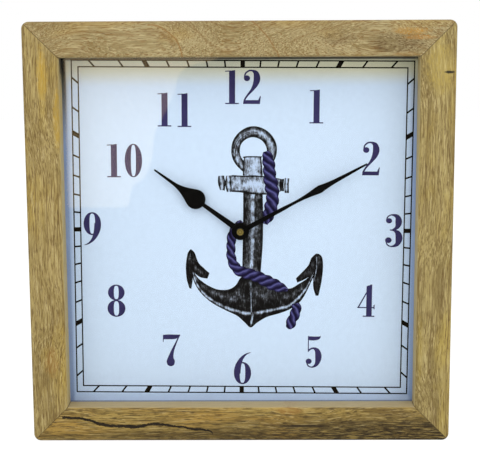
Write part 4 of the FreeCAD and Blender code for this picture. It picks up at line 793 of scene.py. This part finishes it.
def digitPatches(figure, x, z):
    # a nine is a six turned half round
    upsideDown = figure == "9"
    shape = digits["6" if upsideDown else figure]
    way = -numeralHeight if upsideDown else numeralHeight

    def place(given):
        given = np.array(given, float)
        moved = (given[..., :2] - [shape["width"] / 2, 0.5]) * way + [x, z]
        return np.concatenate([moved, given[..., 2:] * numeralHeight], -1)

    found = []
    for bar in shape.get("bars", []):
        found.append(sheet(place(bar[0]), place(bar[1]), 0.0, 2))
    for stroke in shape.get("strokes", []):
        found.append(ribbon(place(stroke), 0.0, 8, 3))
    for centre, outer, inner in shape.get("ovals", []):
        found.append(ovalRing(place(centre), np.array(outer) * numeralHeight,
                              np.array(inner) * numeralHeight, 0.0))
    for layer, patch in enumerate(found):
        patch["points"][..., 1] -= (lifts["numerals"] + lifts["numeralStep"] * layer) * mm
    return found


patches = []
for figure, x, z in numerals:
    patches += digitPatches(figure, x, z)
makePiece("numerals", patches, numeralInk)
print("numerals printed")

# Drawn metal: tone follows the stroke's width, broken by an etcher's uneven shading
etching = {"stretch": (1300.0, 1300.0, 380.0), "hatch": (1.0, 4.0, 0.7), "hatchAmount": 1.8,
           "cloud": (220.0, 2.0), "cloudAmount": 1.3, "darker": -1.61, "gloss": (0.3, 0.7, 0.5, 0.7),
           "inks": [(0.0, (22, 20, 19)), (0.32, (50, 49, 50)), (0.62, (108, 112, 122)),
                    (1.0, (190, 206, 232))]}
etch, etchIn, etchOut = newGroup(
    "etchedTone", {"Tone": "Float", "Vector": "Vector"}, {"Colour": "Color", "Roughness": "Float"})
hatch = noise(etch, stretch(etch, etchIn["Vector"], etching["stretch"]), *etching["hatch"])
cloud = noise(etch, etchIn["Vector"], *etching["cloud"])
clouded = sums(etch, "MULTIPLY_ADD", cloud, etching["cloudAmount"], etching["darker"])
shaken = sums(etch, "MULTIPLY_ADD", hatch, etching["hatchAmount"], clouded)
level = sums(etch, "ADD", etchIn["Tone"], shaken, clamp=True)
connect(etch, etchOut, {"Colour": ramp(etch, level, etching["inks"]),
                        "Roughness": spread(etch, hatch, *etching["gloss"])})


def etched(name, stops):
    material, tree = newMaterial(name)
    across = split(tree, coordinates(tree, "UV"))[1]
    level = ramp(tree, across, [(place, (tone, tone, tone, 1.0)) for place, tone in stops])
    drawn = useGroup(tree, etch, {"Tone": level, "Vector": coordinates(tree)})
    finished(tree, drawn["Colour"], drawn["Roughness"], shine=0.0)
    return material


# how light a stroke is, from its one edge to the other
tones = {
    "Round": [(0.0, 0.0), (0.16, 0.32), (0.42, 1.0), (0.62, 0.78), (0.84, 0.3), (1.0, 0.0)],
    "Flat": [(0.0, 0.0), (0.1, 0.7), (0.5, 0.97), (0.88, 0.8), (1.0, 0.0)],
    "Shank": [(0.0, 0.02), (0.12, 0.28), (0.34, 0.44), (0.44, 0.92), (0.54, 0.88), (0.6, 0.36),
              (0.85, 0.3), (1.0, 0.02)],
    "Dark": [(0.0, 0.0), (0.3, 0.08), (0.55, 0.2), (0.8, 0.08), (1.0, 0.0)],
    "Arm": [(0.0, 0.0), (0.14, 0.12), (0.36, 0.42), (0.55, 0.16), (0.7, 0.0), (1.0, 0.0)],
    "Pale": [(0.0, 0.0), (0.22, 0.55), (0.5, 0.95), (0.78, 0.55), (1.0, 0.0)],
    "Line": [(0.0, 0.02), (1.0, 0.05)],
}
drawnMetal = {name: etched(f"etched{name}", stops) for name, stops in tones.items()}

# Anchor, a common figure drawn afresh, in print millimetres: a tone, a lift, and either a stroke's
# path with half widths or the two edges of a sheet
anchor = {
    "anchorRing": ("Round", 0.0, [
        (6.28, 41.69, 2.86), (0.41, 46.75, 3.07), (-3.3, 51.2, 3.07), (-4.95, 56.47, 3.07),
        (-4.12, 63.15, 3.17), (-0.42, 68.21, 3.47), (5.46, 71.25, 3.88), (11.64, 70.84, 3.99),
        (17.2, 67.4, 3.88), (20.71, 61.53, 3.78), (20.91, 55.25, 3.47), (19.47, 50.19, 2.86)]),
    "anchorHead": ("Flat", 0.006, [
        (1.13, 52.82), (0.41, 46.65), (0.31, 39.87)], [
        (13.49, 53.23), (14.22, 46.65), (14.63, 39.66)]),
    "anchorShank": ("Shank", 0.0, [
        (0.62, 27.72), (0.62, 9.7), (0.41, -10.55), (0.1, -31.8)], [
        (14.73, 26.91), (15.14, 9.7), (14.94, -10.55), (13.49, -31.8)]),
    "anchorStock": ("Flat", 0.012, [
        (-8.14, 39.87), (1.13, 39.66), (8.34, 39.87), (18.65, 39.26), (27.92, 37.54)], [
        (-7.63, 28.12), (-1.96, 28.12), (8.34, 26.71), (18.65, 26.1), (27.71, 28.43)]),
    "anchorArms": ("Arm", 0.006, [
        (-36.17, -29.78), (-31.84, -35.85), (-25.14, -40.91), (-17.42, -44.15), (-9.69, -43.95),
        (-4.54, -40.71), (-0.72, -34.84), (6.28, -31.3), (15.55, -33.83), (23.8, -39.4), (34.1, -43.14),
        (41.31, -39.7), (48.01, -35.04), (52.44, -29.27)], [
        (-36.58, -32.31), (-34.72, -39.4), (-29.78, -47.19), (-22.05, -54.07), (-12.26, -59.54),
        (-3.51, -63.79), (2.16, -68.85), (6.49, -72.5), (11.43, -68.65), (18.65, -64.4), (27.92, -61.57),
        (36.16, -57.92), (44.4, -50.53), (52.44, -33.83)]),
    "flukeLeftOuter": ("Dark", 0.018, [
        (-38.23, -14.8), (-39.88, -18.14), (-41.01, -26.74), (-40.49, -35.85), (-38.64, -43.14)], [
        (-36.99, -14.19), (-36.17, -20.67), (-35.96, -27.75), (-35.96, -35.85), (-37.09, -43.75)]),
    "flukeLeftInner": ("Dark", 0.018, [
        (-37.2, -14.19), (-34.52, -17.02), (-31.94, -23.91), (-27.72, -28.36), (-23.7, -32.01)], [
        (-38.02, -15), (-36.68, -23.2), (-35.75, -30.39), (-30.81, -34.84), (-25.35, -36.06)]),
    "flukeRightInner": ("Dark", 0.018, [
        (53.47, -17.23), (50.38, -20.47), (48.42, -25.53), (44.4, -30.29), (39.35, -35.45)], [
        (54.91, -17.02), (54.29, -25.73), (51.61, -32.01), (45.95, -36.06), (40.28, -38.69)]),
    "flukeRightOuter": ("Dark", 0.018, [
        (55.94, -17.23), (58.21, -19.86), (59.03, -26.74), (58.11, -37.37), (55.94, -48.2)], [
        (54.09, -17.02), (53.06, -25.73), (52.03, -33.83), (52.03, -41.93), (53.88, -48.41)]),
    "stockCollarLeft": ("Round", 0.018, [
        (-11.75, 39.66), (-12.47, 34), (-11.23, 27.92)], [
        (-8.35, 39.87), (-7.73, 34), (-7.73, 27.92)]),
    "stockKnobLeft": ("Round", 0.018, [
        (-17.42, 39.46), (-17.62, 34.5), (-16.18, 29.34)], [
        (-13.29, 39.87), (-12.26, 34.5), (-12.68, 28.93)]),
    "stockCollarRight": ("Dark", 0.018, [
        (27.09, 37.24), (26.68, 32.98), (27.3, 28.73)], [
        (30.18, 37.64), (29.77, 32.98), (30.18, 28.53)]),
    "stockKnobRight": ("Round", 0.018, [
        (30.6, 38.25), (30.18, 32.98), (30.6, 27.31)], [
        (33.89, 37.84), (33.48, 32.98), (33.69, 27.31)]),
    "armRidge": ("Pale", 0.024, [
        (-35.75, -31.2, 0.31), (-33.69, -38.89, 0.92), (-27.92, -47.19, 1.33), (-19.68, -53.57, 1.53),
        (-11.23, -57.72, 1.64), (-2.99, -60.55, 1.74), (6.49, -61.97, 1.84), (16.58, -60.35, 1.74),
        (25.86, -58.53, 1.64), (34.1, -56.1, 1.53), (41.31, -50.03, 1.33), (46.98, -42.43, 1.02),
        (51.82, -32.82, 0.31)]),
    "crownRidge": ("Pale", 0.03, [
        (7.72, -61.16, 1.43), (7.52, -65.21, 1.23), (6.9, -69.26, 0.92), (6.49, -71.89, 0.31)]),
    "crownFold": ("Pale", 0.03, [
        (6.49, -38.89, 0.15), (6.59, -46.99, 0.41), (6.69, -54.07, 0.51), (6.9, -61.16, 0.61)]),
    "crownShade": ("Line", 0.026, [
        (4.74, -37.88, 0.41), (3.71, -45.98, 1.84), (4.22, -54.07, 2.04), (4.84, -60.65, 0.82)]),
    "flukeShine": ("Pale", 0.024, [
        (54.29, -19.66, 0.2), (54.29, -26.74, 0.41), (53.47, -32.82, 0.41), (52.23, -37.88, 0.2)]),
    "ringShine": ("Pale", 0.02, [
        (-4.23, 50.19, 0.2), (-5.67, 55.76, 0.72), (-4.54, 62.34, 0.92), (-0.93, 67.6, 0.92),
        (4.74, 70.64, 0.72), (10.4, 71.25, 0.31)]),
    "headLine": ("Line", 0.03, [(0.31, 53.03, 0.41), (4.22, 53.43, 0.51), (14.01, 53.43, 0.41)]),
    "stockTop": ("Line", 0.03, [
        (-7.73, 39.87, 0.31), (1.13, 39.46, 0.31), (8.34, 39.66, 0.41), (15.55, 39.06, 0.31)]),
    "stockFoot": ("Line", 0.03, [
        (-7.52, 28.12, 0.2), (-1.45, 27.92, 0.31), (6.28, 26.71, 0.41), (15.55, 26.3, 0.31)]),
}
for pieceName, (tone, lift, *edges) in anchor.items():
    lift += lifts["anchor"]
    if len(edges) == 1:
        patch = ribbon(edges[0], lift, 10)
    else:
        patch = sheet(spline(edges[0], 10), spline(edges[1], 10), lift, 9)
    makePiece(pieceName, [patch], drawnMetal[tone])

# Rope: slanted strands, from the place along it plus a share of the place across
rope = {"pitch": 6.6, "slant": 1.35, "wobble": 0.25, "rim": (0.3, 0.5, 0.0, 0.75),
        "rimColour": (24, 18, 40),
        "strand": [(0.0, (20, 17, 32)), (0.16, (42, 37, 78)), (0.36, (92, 90, 146)),
                   (0.54, (58, 54, 98)), (0.8, (32, 28, 56)), (1.0, (20, 17, 32))]}
ropeInk, tree = newMaterial("ropeInk")
along, across = split(tree, coordinates(tree, "UV"))[:2]
strand = sums(tree, "MULTIPLY_ADD", across, rope["slant"], sums(tree, "DIVIDE", along, rope["pitch"]))
wobble = noise(tree, coordinates(tree), 420.0, 3.0)
strand = sums(tree, "MULTIPLY_ADD", wobble, rope["wobble"],
              sums(tree, "SUBTRACT", strand, rope["wobble"] / 2))
shading = ramp(tree, sums(tree, "FRACT", strand), rope["strand"])
rim = spread(tree, apart(tree, across, 0.5), *rope["rim"])
finished(tree, blend(tree, rim, shading, srgb(*rope["rimColour"])),
         spread(tree, wobble, 0.3, 0.7, 0.5, 0.7), shine=0.0)
ropes = {
    "ropeUpper": [
        (16.79, 57.48, 2.04), (17.82, 54.04, 3.88), (19.16, 47.16, 4.5), (19.68, 40.07, 4.7),
        (20.91, 32.98, 5.11), (21.94, 24.88, 4.7), (20.71, 16.79, 4.91), (18.65, 9.7, 4.09),
        (16.79, 4.44, 1.64)],
    "ropeLower": [
        (-0.11, 6.46, 1.43), (-2.99, 3.63, 3.07), (-5.88, -0.42, 3.47), (-7.63, -5.48, 3.47),
        (-8.14, -13.08, 3.27), (-7.94, -19.66, 3.37), (-5.67, -26.24, 3.68), (-0.93, -30.59, 4.09),
        (6.28, -32.61, 4.09), (13.49, -35.35, 4.29), (20.71, -39.09, 4.7), (27.92, -42.13, 3.88),
        (33.58, -44.15, 1.02)],
    "ropeEnd": [
        (39.46, -54.07, 2.86), (39.87, -57.92, 3.68), (38.84, -62.38, 3.88), (36.98, -66.22, 3.68),
        (35.75, -69.87, 3.78), (35.34, -72.09, 3.07), (35.13, -73.71, 0.82)],
}
for pieceName, points in ropes.items():
    patch = ribbon(points, lifts["rope"], 12, 5, rope["pitch"], rope["slant"])
    makePiece(pieceName, [patch], ropeInk)
print("anchor and rope printed")


# Turned pieces: a profile of (radius, depth) carried round an axis that runs front to back
def turned(name, profile, axis, material, body, slotName, count=48, ribs=0, relief=0.0):
    profile = np.array(profile, float)
    angle = np.linspace(0, 2 * np.pi, count, endpoint=False)
    radius = profile[:, 0][:, None] * (1 + relief * np.cos(ribs * angle)[None, :])
    x = axis[0] + radius * np.cos(angle)
    z = axis[1] + radius * np.sin(angle)
    y = np.broadcast_to(profile[:, 1][:, None], x.shape)
    points = np.stack([x, y, z], -1) * mm
    uv = np.stack(np.broadcast_arrays(alongRun(profile)[:, None], angle[None, :]), -1)
    patch = {"points": points, "uv": uv, "wrapColumns": True}
    return makePiece(name, [patch], material, body, True)


# Brass, with the ring-shaped marks of turning: they follow the distance from the axis
brassLook = {
    "metallic": 0.6, "wobble": 0.5, "radius": 3.0,
    "rings": [(0.0, (176, 157, 84)), (0.28, (152, 133, 66)), (0.4, (102, 85, 38)),
              (0.52, (166, 146, 74)), (0.74, (146, 126, 62)), (0.84, (34, 27, 15))]}
brass, tree = newMaterial("turnedBrass")
radial = vectorSum(tree, "SUBTRACT", coordinates(tree), (0, 0, middle))
outward = vectorSum(tree, "LENGTH", vectorSum(tree, "MULTIPLY", radial, (1 / mm, 0, 1 / mm)))
tarnish = noise(tree, coordinates(tree), 900.0, 3.0)
outward = sums(tree, "MULTIPLY_ADD", tarnish, brassLook["wobble"],
               sums(tree, "SUBTRACT", outward, brassLook["wobble"] / 2))
ringed = ramp(tree, sums(tree, "DIVIDE", outward, brassLook["radius"]), brassLook["rings"])
finished(tree, ringed, spread(tree, tarnish, 0.3, 0.7, 0.35, 0.55), tarnish, 0.00004,
         metallic=brassLook["metallic"])
nutProfile = [(0.0, -6.25), (0.55, -6.25), (0.7, -6.4), (1.05, -6.4), (1.2, -6.2), (1.5, -6.2),
              (1.65, -6.4), (2.35, -6.4), (2.62, -6.22), (2.7, -6.0), (2.7, -4.55), (2.6, -4.41),
              (0.0, -4.41)]
nut = turned("handNut", nutProfile, (0.0, middle / mm), brass, "minute_arbor", "turned_brass")
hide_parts("hand_nut")

# Knob rim: the profile's depths are counted from the knob's back
knob = {"profile": [(4.35, -1.0), (4.6, -0.9), (4.6, -0.1), (4.35, 0.02), (3.4, 0.03), (3.1, -0.05)],
        "count": 144, "ribs": 36, "relief": 0.012}
knobLow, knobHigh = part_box("setting_knob")
knobAxis = ((knobLow[0] + knobHigh[0]) / 2 / mm, (knobLow[2] + knobHigh[2]) / 2 / mm)
grip = plain("knobGrip", (52, 52, 54), (30, 30, 32), scale=1500.0)
turned("knobRim", np.array(knob["profile"]) + [0.0, knobHigh[1] / mm], knobAxis, grip,
       "setting_knob", "knob_plastic", knob["count"], knob["ribs"], knob["relief"])

# Screws and pins, in millimetres; a recess is in shares of the head
screw = {"apart": 29.0, "radius": 3.0, "rise": 0.28, "armHalf": 0.13, "armReach": 0.62,
         "recess": 0.35, "rim": 0.98}
pin = {"profile": [(0.0, 0.35), (0.7, 0.28), (1.1, 0.1), (1.15, 0.01)],
       "places": [(-70, 281), (70, 281), (-70, 19), (70, 19), (-131, 220), (-131, 80), (131, 220),
                  (131, 80)]}


def screwHead(name, x, z, base, material):
    # a dome with a crossed recess: the height falls inside either arm of the cross
    u = np.linspace(0, 1, 15)[:, None]
    angle = np.linspace(0, 2 * np.pi, 64, endpoint=False)[None, :]
    across, upward = u * np.cos(angle), u * np.sin(angle)
    arms = np.minimum(np.abs(across), np.abs(upward)) < screw["armHalf"]
    dome = screw["rise"] * np.sqrt(np.maximum(1 - (u * screw["rim"]) ** 2, 0)) * np.ones_like(across)
    height = np.where(arms & (u < screw["armReach"]), dome * screw["recess"], dome)
    radius = screw["radius"]
    points = np.stack([x + radius * across, base + height, z + radius * upward], -1) * mm
    patch = {"points": points, "uv": np.stack([across, upward], -1), "wrapColumns": True, "flip": True}
    makePiece(name, [patch], material)


steel = plain("screwSteel", (206, 202, 190), (150, 146, 136), metallic=1.0, smooth=0.22, rough=0.4)
plateLow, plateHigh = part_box("hanger_plate")
plateMiddle = (plateLow[2] + plateHigh[2]) / 2 / mm
for sideName, sign in (("Left", -1), ("Right", 1)):
    screwHead(f"hangerScrew{sideName}", sign * screw["apart"] / 2, plateMiddle, plateHigh[1] / mm,
              steel)
pinProfile = np.array(pin["profile"]) + [0.0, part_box("retainer_top")[1][1] / mm]
for number, axis in enumerate(pin["places"]):
    turned(f"retainerPin{number}", pinProfile, axis, steel, "clock", "zinc_steel", 20)
print("turned pieces and screws made")


# Floor, world, lamps and cards
def flatCard(name, points, material):
    # a flat skin through a grid of points
    mesh = bpy.data.meshes.new(name)
    rows, columns = points.shape[:2]
    mesh.from_pydata(points.reshape(-1, 3).tolist(), [], patchFaces(rows, columns).tolist())
    mesh.materials.append(material)
    card = bpy.data.objects.new(name, mesh)
    scene.collection.objects.link(card)
    return card


studio = {"floor": ((0.80, 0.80, 0.80, 1), (0.84, 0.84, 0.84, 1)), "floorShade": (0.3, 0.3, 0.3, 1),
          "floorGlow": 0.86, "floorHalf": 3.0, "sky": (0.95, 0.975, 1.0, 1), "skyStrength": 0.88,
          "white": (1, 1, 1, 1), "room": (-0.75, 0.3, 0.02, 0.9)}
floorLook, tree = newMaterial("paleFloor")
floorColour = blend(tree, noise(tree, coordinates(tree), 30.0, 2.0), *studio["floor"])
matte = add(tree, "BsdfDiffuse", {"Color": floorColour})
faint = add(tree, "BsdfDiffuse", {"Color": studio["floorShade"]})
glow = add(tree, "Emission", {"Color": studio["white"], "Strength": studio["floorGlow"]})
shown = add(tree, "AddShader", {0: faint.outputs[0], 1: glow.outputs[0]})
path = add(tree, "LightPath").outputs
toOutput(tree, mixShaders(tree, path["Is Camera Ray"], matte, shown))
floorCorners = np.array([[[1, -1, 0], [1, 1, 0]], [[-1, -1, 0], [-1, 1, 0]]]) * studio["floorHalf"]
floor = flatCard("floor", floorCorners, floorLook)
# the pane mirrors neither the floor in front of it nor its sheen through the second face
floor.visible_glossy = False
floor.visible_transmission = False

world = bpy.data.worlds.new("World")
scene.world = world
world.use_nodes = True
air = world.node_tree
air.nodes.clear()
path = add(air, "LightPath").outputs
white = add(air, "Background", {"Color": studio["white"], "Strength": 1.0})
soft = add(air, "Background", {"Color": studio["sky"], "Strength": studio["skyStrength"]})
# mirrors see a room that is dim in front of the dial and bright behind it
ahead = split(air, coordinates(air, "Generated"))[1]
roomLight = spread(air, ahead, *studio["room"])
room = add(air, "Background", {"Color": studio["white"], "Strength": roomLight})
mirrored = sums(air, "MAXIMUM", path["Is Glossy Ray"], path["Is Transmission Ray"])
lit = mixShaders(air, mirrored, soft, room)
toOutput(air, mixShaders(air, path["Is Camera Ray"], lit, white), "World")

lamps = {
    "keyLamp": {"place": (-0.15, -1.30, 1.15), "size": 2.0, "energy": 12.9,
                "colour": (1.0, 0.985, 0.96)},
    "fillLamp": {"place": (0.9, -1.4, 0.35), "size": 1.2, "energy": 4.0,
                 "colour": (0.96, 0.98, 1.0)},
}
for lampName, look in lamps.items():
    light = bpy.data.lights.new(lampName, "AREA")
    light.size = look["size"]
    light.energy = look["energy"]
    light.color = look["colour"]
    lamp = bpy.data.objects.new(lampName, light)
    scene.collection.objects.link(lamp)
    lamp.location = look["place"]
    aim = Vector((0, 0, middle)) - Vector(look["place"])
    lamp.rotation_euler = aim.to_track_quat("-Z", "Y").to_euler()
    lamp.visible_camera = False

# The pane mirrors the dim side that it faces, with one pale, soft-edged patch at its upper left:
# a card whose light fades towards its wavy edge
haze = {
    "edge": [
        (-0.0255, 0.2585), (-0.0384, 0.2472), (-0.0542, 0.2416), (-0.0815, 0.2346), (-0.096, 0.2219),
        (-0.102, 0.1991), (-0.1154, 0.1705), (-0.1317, 0.1374), (-0.1367, 0.1011), (-0.1473, 0.0749),
        (-0.165, 0.0603), (-0.1696, 0.0456), (-0.1728, 0.0324), (-0.1889, 0.0295), (-0.2225, 0.0296),
        (-0.2737, 0.0298)],
    "corner": (-0.36, 0.36), "plane": -0.95, "soft": 0.014, "deep": 0.4,
    "colour": (1.0, 0.72, 0.38, 1), "strength": 2.2}
hazeLook, tree = newMaterial("hazeCard")
fadeOut = add(tree, "Attribute", attribute_name="fade").outputs["Fac"]
toOutput(tree, add(tree, "Emission", {
    "Color": haze["colour"], "Strength": times(tree, fadeOut, haze["strength"])}))
edge = spline(haze["edge"], 8)
steps = np.array([0.0, haze["soft"] / 2, haze["soft"], haze["deep"], 1.0])[None, :, None]
inward = edge[:, None, :] * (1 - steps) + np.array(haze["corner"])[None, None, :] * steps
cardPoints = np.stack([inward[..., 0], np.full(inward.shape[:2], haze["plane"]), inward[..., 1]], -1)
card = flatCard("hazeCard", cardPoints, hazeLook)
fade = np.broadcast_to(np.array([0.0, 0.5, 1.0, 1.0, 1.0], np.float32), inward.shape[:2])
card.data.attributes.new("fade", "FLOAT", "POINT").data.foreach_set("value", fade.ravel())
for ray in ("camera", "diffuse", "transmission", "shadow", "volume_scatter"):
    setattr(card, f"visible_{ray}", False)
print("stage set")
